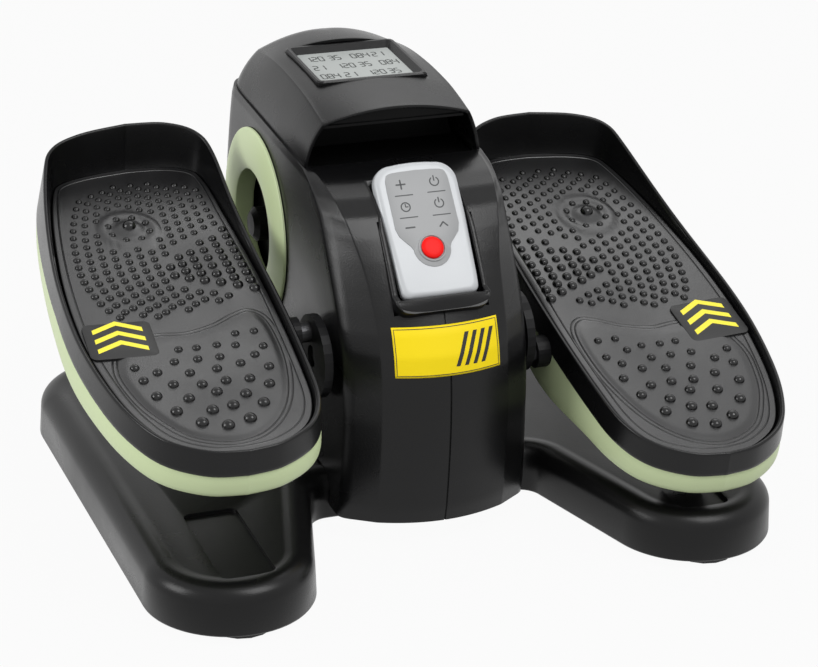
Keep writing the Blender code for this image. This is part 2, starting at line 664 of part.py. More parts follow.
def build_pocket():
    """The hand-grip pocket's liner: floor, back and roof in one bent section, and a brow under the crown."""
    wall = 0.002
    section = [(0.0012, PARTING_Z - 0.0050), (POCKET_DEPTH + wall, PARTING_Z - 0.0050),
               (POCKET_DEPTH + wall, POCKET_ROOF_Z + wall), (-0.0010, POCKET_ROOF_Z + wall),
               (-0.0010, POCKET_ROOF_Z), (POCKET_DEPTH, POCKET_ROOF_Z), (POCKET_DEPTH, PARTING_Z - 0.0030),
               (0.0012, PARTING_Z - 0.0030)]
    slope = (HOUSING_TOP_HALF - CREASE_FRONT.x) / (CREASE_FRONT.z - PARTING_Z)

    def reach(z):
        return HOUSING_TOP_HALF - 0.0042 - slope * max(z - PARTING_Z, 0.0)

    rings = [[(side * reach(z), y, z) for y, z in section] for side in (-1, 1)]
    liner = link("grip_pocket", loft_mesh("grip_pocket", rings), INNER_PLASTIC)
    count = 12
    half = reach(POCKET_ROOF_Z + wall)
    crown = spine_z(0.0) - 0.0052
    top = [(half - 2 * half * i / count, crown - (crown - POCKET_ROOF_Z - wall) * (1 - 2 * i / count) ** 2)
           for i in range(count + 1)]
    loop = [(-half, POCKET_ROOF_Z + wall / 2), (half, POCKET_ROOF_Z + wall / 2)] + top
    brow = plate_mesh("brow", [loop], 0.0016)
    for vert in brow.vertices:
        x, y, z = vert.co
        vert.co = (x, 0.0012 - z, y)
    join_bodies(liner, [brow])


def build_rings():
    """The green trim rings and the caps on the wheel axle seen inside them."""
    face = HOUSING_HALF + GAP
    profile = [(RING_RADIUS, face), (RING_RADIUS - 0.0012, face + 0.0022), (RING_INNER_RADIUS + 0.014, face + 0.0052),
               (RING_INNER_RADIUS + 0.001, face + 0.0036), (RING_INNER_RADIUS - 0.0005, face - 0.0110),
               (RING_INNER_RADIUS + 0.0020, face - 0.0110), (RING_INNER_RADIUS + 0.0020, face)]
    for side, label in SIDES:
        trim = list(reversed(profile)) if side > 0 else [(radius, -x) for radius, x in profile]
        turned(f"{label}_ring", trim, GREEN_PLASTIC, (0, WHEEL_Y, WHEEL_Z), 40)


def deck_height(along):
    """The deck's height over the remote's plane, for a distance up the slope."""
    ys = np.array([front_y(z) for z in FRONT_Z]) - REMOTE_SEAT.y
    zs = np.array(FRONT_Z) - REMOTE_SEAT.z
    a = ys * math.cos(REMOTE_SLOPE) + zs * math.sin(REMOTE_SLOPE)
    n = -ys * math.sin(REMOTE_SLOPE) + zs * math.cos(REMOTE_SLOPE)
    return float(np.interp(along, a, n))


def remote_half(along, inset=0.0):
    """Half the remote's width at a distance from its foot: a slight taper and round shoulders."""
    radius = 0.014
    end = REMOTE_LENGTH - inset
    width = REMOTE_FOOT_HALF + (REMOTE_HALF - REMOTE_FOOT_HALF) * min(along / 0.06, 1.0) - inset
    if along > end - radius:
        drop = along - (end - radius)
        width -= radius - math.sqrt(max(radius ** 2 - drop ** 2, 0.0))
    return width


def remote_ring(height, inset=0.0):
    """A loop round the remote at one height, rungs matched left and right for a ladder cap."""
    end = REMOTE_LENGTH - inset
    stations = [inset + (end - 0.014 - inset) * i / 4 for i in range(5)]
    stations += [end - 0.014 * (1 - math.sin(math.pi / 2 * i / 5)) for i in range(1, 5)]
    crown = end + 0.0016
    right = [(remote_half(s, inset), s, height) for s in stations]
    left = [(-x, y, z) for x, y, z in reversed(right)]
    return [(0.0, inset - 0.0008, height)] + right + [(0.0, crown, height)] + left


def build_remote():
    """The remote control: silver face shell, dark back shell, key film and the red button."""
    seat = pivot("remote_lift", REMOTE_SEAT, (REMOTE_SLOPE, 0, 0))
    middle = -0.0085
    face = [remote_ring(middle, 0.0006), remote_ring(middle + 0.0012, 0.0), remote_ring(-0.0034, 0.0002),
            remote_ring(-0.0011, 0.0014), remote_ring(0.0, 0.0040)]
    shell = link("remote_face", loft_mesh("remote_face", face, "ladder"), SILVER_PLASTIC, seat)
    back = [remote_ring(-REMOTE_THICKNESS, 0.0040), remote_ring(-REMOTE_THICKNESS + 0.0015, 0.0016),
            remote_ring(middle - GAP - 0.0012, 0.0004), remote_ring(middle - GAP, 0.0008)]
    link("remote_back", loft_mesh("remote_back", back, "ladder"), BLACK_PLASTIC, seat)
    film_top, film_low, neck = 0.0945, BUTTON_ALONG + 0.010, BUTTON_ALONG
    radius = 0.0140
    loop = [(0.0222, film_low + 0.004), (0.0236, film_top - 0.008), (0.0200, film_top - 0.0025),
            (0.0, film_top), (-0.0200, film_top - 0.0025), (-0.0236, film_top - 0.008), (-0.0222, film_low + 0.004)]
    loop += arc((0.0, neck), radius, math.radians(165), math.radians(375), 12)
    seat_cut = plate_mesh("film_recess", [loop], 0.0030)
    boolean(shell, as_cutter(seat_cut, "film_recess", seat, (0, 0, 0.0015 - 0.0014)))
    inner = [(x * 0.985, neck + (y - neck) * 0.99) for x, y in loop]
    hole = circle(0.0, BUTTON_ALONG, BUTTON_RADIUS + GAP, 24)
    film = plate_mesh("key_film", [inner, hole], 0.0009)
    link("key_film", film, GREY_FILM, seat, (0, 0, -0.0014 + GAP + 0.00045))
    well = rod_mesh("button_well", BUTTON_RADIUS + GAP, -0.0055, 0.01, 24)
    for vert in well.vertices:
        x, y, z = vert.co
        vert.co = (-z, y, x)
    boolean(shell, as_cutter(well, "button_well", seat, (0, BUTTON_ALONG, 0)))
    button = pivot("button_travel", (0, BUTTON_ALONG, 0), (0, 0, 0), seat)
    base = -0.0055 + BUTTON_TRAVEL + GAP
    work = bmesh.new()
    levels = [(BUTTON_RADIUS, base), (BUTTON_RADIUS, BUTTON_PROUD - 0.0008), (BUTTON_RADIUS - 0.0009, BUTTON_PROUD),
              (BUTTON_RADIUS * 0.5, BUTTON_PROUD + 0.0003)]
    rings = [[(x, y, z) for x, y in circle(0, 0, radius, 24)] for radius, z in levels]
    rows = [[work.verts.new(point) for point in ring] for ring in rings]
    for lower, upper in zip(rows, rows[1:]):
        for i in range(24):
            work.faces.new((lower[i], lower[(i + 1) % 24], upper[(i + 1) % 24], upper[i]))
    work.faces.new(rows[0])
    work.faces.new(rows[-1])
    link("red_button", mesh_from_bmesh("red_button", work), RED_PLASTIC, button)


def build_cradle():
    """The remote's cradle: a trough let into the deck, with a lip that the remote stands on."""
    floor = -REMOTE_THICKNESS - GAP
    under = floor - 0.0022
    inner = REMOTE_HALF + 0.0016
    stations = [CRADLE_LOW, -0.0030, -0.0009, -0.0008, 0.015, 0.035, 0.056, 0.062, 0.067, 0.085, CRADLE_HIGH]
    rings = []
    for along in stations:
        top = deck_height(along) + 0.0006
        if along < 0:
            top = max(top, 0.0002)
        bed = floor if along > -0.00085 else top - 0.0004
        top = max(top, floor + 0.0008)
        half = cradle_half(along)
        rings.append([(-half, along, top), (-half, along, under), (half, along, under),
                      (half, along, top), (inner, along, top), (inner, along, min(bed, top - 0.0004)),
                      (-inner, along, min(bed, top - 0.0004)), (-inner, along, top)])
    mesh = loft_mesh("remote_cradle", rings)
    link("remote_cradle", mesh, BLACK_PLASTIC, None, REMOTE_SEAT, (REMOTE_SLOPE, 0, 0))


def build_plate():
    """The thin yellow plate bent over the crowned front."""
    low, high, half = 0.136, 0.1705, 0.0405
    work = bmesh.new()
    xs = np.linspace(-half, half, 9)
    zs = [low] + [z for z in FRONT_Z if low < z < high] + [high]
    near = [[front_point(x, z, GAP + 0.0009) for x in xs] for z in zs]
    far = [[front_point(x, z, GAP) for x in xs] for z in zs]
    front, back = grid_surface(work, near), grid_surface(work, far)
    edge = front[0] + [row[-1] for row in front[1:]] + front[-1][-2::-1] + [row[0] for row in front[-2:0:-1]]
    rear = back[0] + [row[-1] for row in back[1:]] + back[-1][-2::-1] + [row[0] for row in back[-2:0:-1]]
    for i in range(len(edge)):
        j = (i + 1) % len(edge)
        work.faces.new((edge[i], edge[j], rear[j], rear[i]))
    link("info_plate", mesh_from_bmesh("info_plate", work), YELLOW_FILM)


def build_frame():
    """The steel chassis inside the housing: a floor plate and two side plates with bearing holes."""
    floor_top = BASE_TOP + GAP + 0.004
    low, high = NOTCH_Y + 0.004, 0.172
    loop = rectangle(SIDE_PLATE_X + SIDE_PLATE_THICKNESS / 2 + 0.004, (high - low) / 2, 0.006, 3)
    plate = plate_mesh("frame_plate", [loop, circle(0.0, 0.05, 0.020, 20), circle(0.0, -0.062, 0.012, 16)], 0.004)
    link("frame_plate", plate, DARK_STEEL, None, (0, (high + low) / 2, floor_top - 0.002))
    foot = floor_top + GAP
    outline = [(low + 0.004, foot), (high - 0.006, foot), (high - 0.006, 0.100)]
    outline += arc((WHEEL_Y, WHEEL_Z), RING_INNER_RADIUS + 0.009, math.radians(-15), math.radians(165), 10)
    outline += [(CRANK_Y + 0.051, 0.176), (CRANK_Y + 0.009, 0.166), (CRANK_Y - 0.029, 0.150), (CRANK_Y - 0.033, 0.110)]
    holes = [circle(CRANK_Y, CRANK_Z, BEARING_RADIUS + GAP, 20), circle(WHEEL_Y, WHEEL_Z, WHEEL_BEARING_RADIUS + GAP, 20),
             circle(0.020, 0.118, 0.026, 16), circle(-0.040, 0.076, 0.014, 12), circle(0.048, 0.070, 0.014, 12)]
    for side, label in SIDES:
        mesh = plate_mesh(f"{label}_side_plate", [outline] + holes, SIDE_PLATE_THICKNESS)
        link(f"{label}_side_plate", mesh, DARK_STEEL, None, (side * SIDE_PLATE_X, 0, 0),
             (math.pi / 2, 0, math.pi / 2))
        for name, y, z, outer, bore in (("crank", CRANK_Y, CRANK_Z, BEARING_RADIUS, AXLE_RADIUS),
                                        ("wheel", WHEEL_Y, WHEEL_Z, WHEEL_BEARING_RADIUS, WHEEL_AXLE_RADIUS)):
            half = BEARING_WIDTH / 2
            profile = [(outer, half), (outer, -half), (bore + GAP, -half), (bore + GAP, half)]
            turned(f"{label}_{name}_bearing", profile, STEEL, (side * SIDE_PLATE_X, y, z), 20)


def belt_loop(first, first_radius, second, second_radius, grow):
    """A belt's outline: two arcs joined by the lines that touch both pulleys."""
    radius_a, radius_b = first_radius + grow, second_radius + grow
    run = math.hypot(second[0] - first[0], second[1] - first[1])
    heading = math.atan2(second[1] - first[1], second[0] - first[0])
    lean = math.acos((radius_a - radius_b) / run)
    loop = arc(first, radius_a, heading + lean, heading - lean + math.tau, 22)
    loop += arc(second, radius_b, heading - lean, heading + lean, 12)
    return loop


def build_belt(name, first, first_radius, second, second_radius, x):
    """A flat belt round two pulleys."""
    loops = [belt_loop(first, first_radius, second, second_radius, GAP + BELT_THICKNESS),
             belt_loop(first, first_radius, second, second_radius, GAP)]
    mesh = plate_mesh(name, loops, PULLEY_WIDTH - 0.004)
    link(name, mesh, BELT_RUBBER, None, (x, 0, 0), (math.pi / 2, 0, math.pi / 2))


def pulley_profile(radius, bore, hub=0.0):
    """A belt pulley with two low flanges and, where a hub is given, one face hollowed to a web."""
    half = PULLEY_WIDTH / 2
    lip = radius + 0.0018
    outer = [(lip, half), (radius, half - 0.0016), (radius, -half + 0.0016), (lip, -half), (bore, -half),
             (bore, half)]
    if hub == 0.0:
        return outer
    return outer + [(hub, half), (hub, -half + 0.004), (radius - 0.006, -half + 0.004), (radius - 0.006, half)]


def build_crank_train():
    """The crank, the wheel behind it and the motor, coupled by two belts."""
    crank = pivot("crank_pivot", (0, CRANK_Y, CRANK_Z))
    disc_x = HOUSING_HALF + 0.0045
    axle = rod_mesh("crank_axle", AXLE_RADIUS, -disc_x - 0.004, disc_x + 0.004)
    link("crank_axle", axle, STEEL, crank)
    turned("crank_pulley", pulley_profile(CRANK_PULLEY_RADIUS, AXLE_RADIUS + GAP, 0.016), BLACK_PLASTIC,
           (CRANK_PULLEY_X, 0, 0), 36, True, crank)
    for side, label in SIDES:
        lift = (side < 0) * 1.0 - (side > 0) * 1.0
        pin_y = lift * CRANK_RADIUS * math.cos(CRANK_PHASE)
        pin_z = lift * CRANK_RADIUS * math.sin(CRANK_PHASE)
        loops = [circle(0, 0, CRANK_DISC_RADIUS, 28), circle(0, 0, AXLE_RADIUS + GAP),
                 circle(pin_y, pin_z, PIN_RADIUS + GAP)]
        disc = plate_mesh(f"{label}_crank_disc", loops, CRANK_DISC_THICKNESS)
        link(f"{label}_crank_disc", disc, DARK_STEEL, crank, (side * (disc_x + CRANK_DISC_THICKNESS / 2), 0, 0),
             (math.pi / 2, 0, math.pi / 2))
        near, far = disc_x + 0.0006, PEDAL_X + 0.004
        span = (near, far) if side > 0 else (-far, -near)
        link(f"{label}_crank_pin", rod_mesh(f"{label}_crank_pin", PIN_RADIUS, *span), STEEL, crank,
             (0, pin_y, pin_z))
    wheel = pivot("wheel_pivot", (0, WHEEL_Y, WHEEL_Z))
    end_x = SIDE_PLATE_X + 0.0185
    link("wheel_axle", rod_mesh("wheel_axle", WHEEL_AXLE_RADIUS, -end_x, end_x), STEEL, wheel)
    bore = WHEEL_AXLE_RADIUS + GAP
    turned("drive_wheel", pulley_profile(DRIVE_WHEEL_RADIUS, bore, 0.014), BLACK_PLASTIC, (DRIVE_WHEEL_X, 0, 0), 36,
           True, wheel)
    turned("small_pulley", pulley_profile(SMALL_PULLEY_RADIUS, bore), STEEL, (CRANK_PULLEY_X, 0, 0), 24, True, wheel)
    for side, label in SIDES:
        start, end = SIDE_PLATE_X + BEARING_WIDTH / 2 + 0.0008, end_x + 0.0042
        profile = [(0.0, end), (0.0090, end - 0.0004), (0.0135, end - 0.0040), (0.0135, start), (bore, start),
                   (bore, end_x + GAP), (0.0, end_x + GAP)]
        if side < 0:
            profile = [(radius, -x) for radius, x in reversed(profile)]
        turned(f"{label}_hub_cap", profile, INNER_PLASTIC, (0, 0, 0), 24, False, wheel)
    motor = pivot("motor_pivot", (0, MOTOR_Y, MOTOR_Z))
    pulley_far = DRIVE_WHEEL_X - PULLEY_WIDTH / 2 - 0.001
    body_near = DRIVE_WHEEL_X + PULLEY_WIDTH / 2 + 0.010
    rim, lip, half = MOTOR_PULLEY_RADIUS, MOTOR_PULLEY_RADIUS + 0.0018, PULLEY_WIDTH / 2
    shaft = MOTOR_SHAFT_RADIUS
    profile = [(0.0, body_near + 0.004), (shaft, body_near + 0.004), (shaft, DRIVE_WHEEL_X + half),
               (lip, DRIVE_WHEEL_X + half), (rim, DRIVE_WHEEL_X + half - 0.0016), (rim, DRIVE_WHEEL_X - half + 0.0016),
               (lip, DRIVE_WHEEL_X - half), (shaft, DRIVE_WHEEL_X - half), (shaft, pulley_far), (0.0, pulley_far)]
    turned("motor_rotor", profile, STEEL, (0, 0, 0), 24, False, motor)
    body_far = body_near + 0.060
    profile = [(0.0, body_far + 0.004), (0.007, body_far + 0.004), (0.008, body_far), (MOTOR_RADIUS - 0.002, body_far),
               (MOTOR_RADIUS, body_far - 0.002), (MOTOR_RADIUS, body_near + 0.002), (MOTOR_RADIUS - 0.002, body_near),
               (MOTOR_SHAFT_RADIUS + GAP, body_near), (MOTOR_SHAFT_RADIUS + GAP, body_near + 0.006),
               (0.0, body_near + 0.006)]
    turned("motor", profile, STEEL, (0, MOTOR_Y, MOTOR_Z), 24, False)
    build_belt("motor_belt", (WHEEL_Y, WHEEL_Z), DRIVE_WHEEL_RADIUS, (MOTOR_Y, MOTOR_Z), MOTOR_PULLEY_RADIUS,
               DRIVE_WHEEL_X)
    build_belt("crank_belt", (CRANK_Y, CRANK_Z), CRANK_PULLEY_RADIUS, (WHEEL_Y, WHEEL_Z), SMALL_PULLEY_RADIUS,
               CRANK_PULLEY_X)
    floor_top = BASE_TOP + GAP + 0.004
    cheek = [(MOTOR_Y - 0.033, floor_top + GAP), (MOTOR_Y + 0.033, floor_top + GAP), (MOTOR_Y + 0.030, MOTOR_Z),
             *arc((MOTOR_Y, MOTOR_Z), 0.030, 0.0, math.pi, 10)[1:]]
    mount = plate_mesh("motor_bracket", [cheek, circle(MOTOR_Y, MOTOR_Z, 0.008, 20)], 0.003)
    bracket = link("motor_bracket", mount, DARK_STEEL, None, (body_near - GAP - 0.0015, 0, 0),
                   (math.pi / 2, 0, math.pi / 2))
    toe = box_mesh("toe", (MOTOR_Y - 0.033, floor_top + GAP, -0.001), (MOTOR_Y + 0.033, floor_top + GAP + 0.003, 0.050))
    join_bodies(bracket, [toe])


def build_electrics():
    """The control board, the mains inlet and the rocker switch at the rear."""
    floor_top = BASE_TOP + GAP + 0.004
    low = floor_top + GAP
    board = link("control_board", box_mesh("control_board", (-0.034, -0.078, low + 0.008), (0.034, -0.006, low + 0.0096)),
                 BOARD_GREEN)
    posts = [rod_mesh("post", 0.003, 0, 0.0085, 10) for spot in range(4)]
    for mesh, (x, y) in zip(posts, ((-0.029, -0.073), (0.029, -0.073), (-0.029, -0.011), (0.029, -0.011))):
        for vert in mesh.vertices:
            a, b, c = vert.co
            vert.co = (x - c, y + b, low + a)
    blocks = [box_mesh("transformer", (-0.028, -0.066, low + 0.009), (-0.004, -0.040, low + 0.029)),
              box_mesh("heat_sink", (0.006, -0.066, low + 0.009), (0.012, -0.024, low + 0.027)),
              box_mesh("relay", (-0.024, -0.032, low + 0.009), (-0.008, -0.018, low + 0.022))]
    join_bodies(board, posts + blocks)
    rear = HOUSING_REAR_Y
    centre = (0.024, 0.074)
    steps = [(0.0113, 0.0073, 0.0150), (0.0113, 0.0073, -0.0008), (0.0164, 0.0119, -0.0008), (0.0170, 0.0125, 0.0008),
             (0.0136, 0.0096, 0.0008), (0.0136, 0.0096, 0.0185)]
    cup = loft_mesh("power_inlet", [[(x, y, z) for x, y in rectangle(half_x, half_y)] for half_x, half_y, z in steps])
    inlet = link("power_inlet", cup, INNER_PLASTIC, None, (centre[0], rear + GAP + 0.0008, centre[1]),
                 (math.pi / 2, 0, 0))
    join_bodies(inlet, [box_mesh("blade", (x - 0.001, -0.0021, 0.0055), (x + 0.001, 0.0021, 0.0167))
                        for x in (-0.0058, 0.0058)])
    centre = (-0.024, 0.074)
    frame = plate_mesh("switch_frame", [rectangle(0.0125, 0.0125, 0.002, 2), rectangle(0.0072, 0.0085)], 0.0016)
    surround = link("switch_frame", frame, INNER_PLASTIC, None, (centre[0], rear + GAP + 0.0008, centre[1]),
                    (math.pi / 2, 0, 0))
    box = plate_mesh("switch_box", [rectangle(0.0096, 0.0098), rectangle(0.0072, 0.0085)], 0.0140)
    for vert in box.vertices:
        vert.co.z += 0.0072
    join_bodies(surround, [box])
    rocker = pivot("rocker_pivot", (centre[0], rear - 0.006, centre[1]))
    lean = math.radians(8)
    reach = 0.0075
    section = [(-reach, 0.0066), (0.0, 0.0078), (reach, 0.0066), (reach - 0.001, -0.0030), (-reach + 0.001, -0.0030)]
    key = plate_mesh("power_switch", [section], 0.0136)
    for vert in key.vertices:
        along, out, across = vert.co
        turned_along = along * math.cos(lean) - out * math.sin(lean)
        turned_out = along * math.sin(lean) + out * math.cos(lean)
        vert.co = (across, turned_out, turned_along)
    key.flip_normals()
    link("power_switch", key, RED_PLASTIC, rocker)


PEDAL_OUTER = [(-0.006, -0.2085), (0.020, -0.2040), (0.046, -0.1870), (0.061, -0.1600), (0.0675, -0.1200),
               (0.0705, -0.0550), (0.0695, 0.0200), (0.0640, 0.0850), (0.0550, 0.1370), (0.0440, 0.1570),
               (0.0180, 0.1670), (-0.020, 0.1720)]
PEDAL_INNER = [(-0.006, -0.2085), (-0.032, -0.2040), (-0.058, -0.1870), (-0.072, -0.1600), (-0.0775, -0.1200),
               (-0.0810, -0.0550), (-0.0835, 0.0200), (-0.0850, 0.0850), (-0.0850, 0.1400), (-0.0760, 0.1600),
               (-0.0520, 0.1700), (-0.020, 0.1720)]
PEDAL_STATIONS = 16


def smooth_side(keys):
    """A dense curve through one side's points, each span a Catmull-Rom cubic."""
    padded = [keys[0]] + list(keys) + [keys[-1]]
    dense = []
    for before, start, end, after in zip(padded, padded[1:], padded[2:], padded[3:]):
        for step in range(8):
            t = step / 8
            dense.append(tuple(0.5 * (2 * b + (c - a) * t + (2 * a - 5 * b + 4 * c - d) * t * t
                                      + (3 * b - a - 3 * c + d) * t ** 3)
                               for a, b, c, d in zip(before, start, end, after)))
    dense.append(keys[-1])
    return np.array(dense)


def pedal_outline():
    """The sole-shaped plan: stations up the outer side, then back down the inner side, as (u, v)."""
    heel, toe = PEDAL_OUTER[0][1], PEDAL_OUTER[-1][1]
    count = PEDAL_STATIONS
    stations = [heel + (toe - heel) * (1 - math.cos(math.pi * i / count)) / 2 for i in range(count + 1)]
    sides = []
    for keys in (PEDAL_OUTER, PEDAL_INNER):
        curve = smooth_side(keys)
        sides.append([(float(np.interp(v, curve[:, 1], curve[:, 0])), v) for v in stations])
    return sides[0] + sides[1][-2:0:-1]


def pedal_normals(outline):
    """Outward directions of the plan at each of its points."""
    points = np.array(outline)
    run = np.roll(points, -1, axis=0) - np.roll(points, 1, axis=0)
    normals = np.column_stack([run[:, 1], -run[:, 0]])
    return normals / np.linalg.norm(normals, axis=1)[:, None]


OUTLINE = pedal_outline()
NORMALS = pedal_normals(OUTLINE)


def rim_w(v):
    """The height of the tray's rim over the mat: low round the heel, a tall wall round the toes."""
    return 0.0045 + 0.0315 * max(v / 0.168, 0.0) ** 2.2


def flare(v):
    """How far the side leans out from the rim to the foot of the black band."""
    return 0.0020 + 0.0035 * max(v / 0.168, 0.0)


def belly(u, v):
    """The depth of the green shell under the band: deepest beside the crank pin, on the inner side."""
    swell = math.exp(-((v + 0.045) / 0.075) ** 2)
    inner = min(max((0.02 - u) / 0.09, 0.0), 1.0)
    return 0.0165 + swell * (0.004 + 0.020 * inner)


def pedal_ring(side, offset, height):
    """A ring of the pedal: the plan moved out by an offset, at a height; both may depend on the place."""
    ring = []
    for (u, v), (nu, nv) in zip(OUTLINE, NORMALS):
        move = offset(u, v) if callable(offset) else offset
        w = height(u, v) if callable(height) else height
        ring.append((side * (u + nu * move), v + nv * move - PIVOT_V, w - PIVOT_W))
    return ring


def mat_edge(inset):
    """The mat's edge, a gap inside the tray's wall, drawn in by an inset."""
    return lambda u, v: -TRAY_WALL - 0.0012 - 0.5 * flare(v) - GAP - 0.0002 - inset


def build_pedals():
    """Each pedal: tray, massage mat, green lower shell, pivot tube, and the roller fork under the heel."""
    for side, label in SIDES:
        lift = (side < 0) * 1.0 - (side > 0) * 1.0
        location = (side * PEDAL_X, CRANK_Y + lift * CRANK_RADIUS * math.cos(CRANK_PHASE),
                    CRANK_Z + lift * CRANK_RADIUS * math.sin(CRANK_PHASE))
        seat = pivot(f"{label}_pedal_pivot", location, (PEDAL_TILT[side], 0, 0))
        wall = TRAY_WALL
        rings = [pedal_ring(side, -0.0085, FLOOR_W - FLOOR_THICKNESS),
                 pedal_ring(side, -wall - 0.0005, FLOOR_W - FLOOR_THICKNESS),
                 pedal_ring(side, lambda u, v: flare(v) - wall, BAND_BOTTOM_W),
                 pedal_ring(side, lambda u, v: flare(v), BAND_BOTTOM_W),
                 pedal_ring(side, 0.0003, lambda u, v: rim_w(v) - 0.0012),
                 pedal_ring(side, -0.0006, lambda u, v: rim_w(v)),
                 pedal_ring(side, -wall + 0.0004, lambda u, v: rim_w(v) - 0.0002),
                 pedal_ring(side, lambda u, v: -wall - 0.0012 - 0.5 * flare(v), FLOOR_W)]
        tray = link(f"{label}_pedal_tray", loft_mesh(f"{label}_pedal_tray", rings, "ladder"), BLACK_PLASTIC, seat)
        mat = [pedal_ring(side, mat_edge(0.0), FLOOR_W + GAP), pedal_ring(side, mat_edge(0.0), -0.0012),
               pedal_ring(side, mat_edge(0.0008), -0.0004), pedal_ring(side, mat_edge(0.0060), 0.0)]
        link(f"{label}_massage_mat", loft_mesh(f"{label}_massage_mat", mat, "ladder"), RUBBER, seat)
        skin = 0.0025
        top = BAND_BOTTOM_W - GAP

        def low(u, v):
            return top - belly(u, v)

        rings = [pedal_ring(side, -0.030, lambda u, v: low(u, v) - 0.0020 + skin),
                 pedal_ring(side, -0.0075 - skin, lambda u, v: low(u, v) + skin),
                 pedal_ring(side, lambda u, v: 0.6 * flare(v) - 0.0012 - skin, lambda u, v: top - 0.70 * belly(u, v)),
                 pedal_ring(side, lambda u, v: flare(v) - 0.0008 - skin, top),
                 pedal_ring(side, lambda u, v: flare(v) - 0.0008, top),
                 pedal_ring(side, lambda u, v: 0.6 * flare(v) - 0.0012, lambda u, v: top - 0.74 * belly(u, v)),
                 pedal_ring(side, -0.0030, lambda u, v: top - 0.94 * belly(u, v)),
                 pedal_ring(side, -0.0075, low),
                 pedal_ring(side, -0.030, lambda u, v: low(u, v) - 0.0020)]
        shell = link(f"{label}_pedal_shell", loft_mesh(f"{label}_pedal_shell", rings, "ladder"), GREEN_PLASTIC, seat)
        reach = (-0.12, -0.055) if side > 0 else (0.055, 0.12)
        hole = as_cutter(rod_mesh("pivot_hole", BEARING_TUBE_RADIUS + GAP, *reach, 32), f"{label}_pivot_hole", seat)
        boolean(tray, hole)
        boolean(shell, hole)
        start, end = (-0.0930, 0.006) if side > 0 else (-0.006, 0.0930)
        bore = PIN_RADIUS + GAP
        profile = [(BEARING_TUBE_RADIUS, end), (BEARING_TUBE_RADIUS, start), (bore, start), (bore, end)]
        turned(f"{label}_pivot_tube", profile, STEEL, (0, 0, 0), 24, True, seat)
        build_fork(side, label, seat)


def build_fork(side, label, seat):
    """The fork with its riveted axle, and the roller on it, under the heel."""
    centre = Vector((side * ROLLER_U, ROLLER_V - PIVOT_V, ROLLER_W - PIVOT_W))
    top = BAND_BOTTOM_W - GAP - belly(ROLLER_U, ROLLER_V) - 0.0020 - GAP - PIVOT_W
    half = ROLLER_HALF_WIDTH + GAP + FORK_WALL
    rise = top - centre.z - 0.0015
    plate = box_mesh("fork_plate", (-half, -0.016, rise - FORK_WALL), (half, 0.016, rise))
    fork = link(f"{label}_roller_fork", plate, DARK_STEEL, seat, centre)
    height = rise - 0.001
    cheek = [(-0.014, height), *arc((0, 0), 0.0070, math.pi, math.tau, 8), (0.014, height)]
    cheeks = []
    for hand in (-1, 1):
        mesh = plate_mesh("cheek", [cheek], FORK_WALL)
        for vert in mesh.vertices:
            a, b, c = vert.co
            vert.co = (c + hand * (half - FORK_WALL / 2), a, b)
        cheeks.append(mesh)
    join_bodies(fork, cheeks + [rod_mesh("roller_axle", 0.0030, -half - 0.0012, half + 0.0012, 16)])
    spin = pivot(f"{label}_roller_pivot", centre, (0, 0, 0), seat)
    wide = ROLLER_HALF_WIDTH
    profile = [(ROLLER_RADIUS - 0.0015, wide), (ROLLER_RADIUS, wide - 0.0015), (ROLLER_RADIUS, -wide + 0.0015),
               (ROLLER_RADIUS - 0.0015, -wide), (0.0030 + GAP, -wide), (0.0030 + GAP, wide)]
    turned(f"{label}_heel_roller", profile, NYLON, (0, 0, 0), 24, True, spin)


build_base()
build_feet()
build_housing()
build_console()
build_display()
build_pocket()
build_rings()
build_remote()
build_cradle()
build_plate()
build_frame()
build_crank_train()
build_electrics()
build_pedals()
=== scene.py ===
"""Electric mini elliptical, dressed for rendering. Metres, +Z up, in the frame of the CAD model."""
import math

import bmesh
import bpy
import numpy as np
from mathutils import Matrix, Vector


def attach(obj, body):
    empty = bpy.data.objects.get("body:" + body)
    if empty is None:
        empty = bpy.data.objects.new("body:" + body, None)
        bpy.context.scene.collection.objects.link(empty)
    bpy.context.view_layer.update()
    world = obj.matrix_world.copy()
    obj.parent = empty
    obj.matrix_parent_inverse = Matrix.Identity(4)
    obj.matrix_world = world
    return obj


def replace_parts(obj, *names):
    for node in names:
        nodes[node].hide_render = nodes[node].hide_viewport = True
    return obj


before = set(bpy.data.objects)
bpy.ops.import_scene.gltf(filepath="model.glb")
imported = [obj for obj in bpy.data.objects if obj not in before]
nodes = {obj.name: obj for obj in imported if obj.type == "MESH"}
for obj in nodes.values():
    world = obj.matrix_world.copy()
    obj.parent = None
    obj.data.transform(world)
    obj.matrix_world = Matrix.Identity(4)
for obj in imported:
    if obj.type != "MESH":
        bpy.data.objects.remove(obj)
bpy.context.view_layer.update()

# ---- Base plate: the real one is a single glossy black plastic moulding whose two lobed wings meet under the
# housing. Its upper edge is big and round, its top faintly dished, and a shallow track with round corners is let
# into each wing for the pedal's roller.

BASE_BOTTOM, BASE_TOP = 0.006, 0.042
REAR_Y, REAR_R, CORNER_X, CORNER_R = 0.2282, 0.42, 0.174, 0.070
LOBE_X, LOBE_Y, LOBE_R, NOTCH_Y, NOTCH_R = 0.178, -0.1655, 0.0625, -0.080, 0.016
WING_LEAN = math.radians(16.7)
SHOULDER_DROP, SHOULDER_REACH = 0.0130, 0.0135
TRACK_NEAR_X, TRACK_FAR_X, TRACK_FRONT_Y, TRACK_REAR_Y = 0.154, 0.194, -0.205, -0.105
TRACK_FLOOR, TRACK_CORNER = 0.038, 0.006
SIDES = ((-1, "left"), (1, "right"))


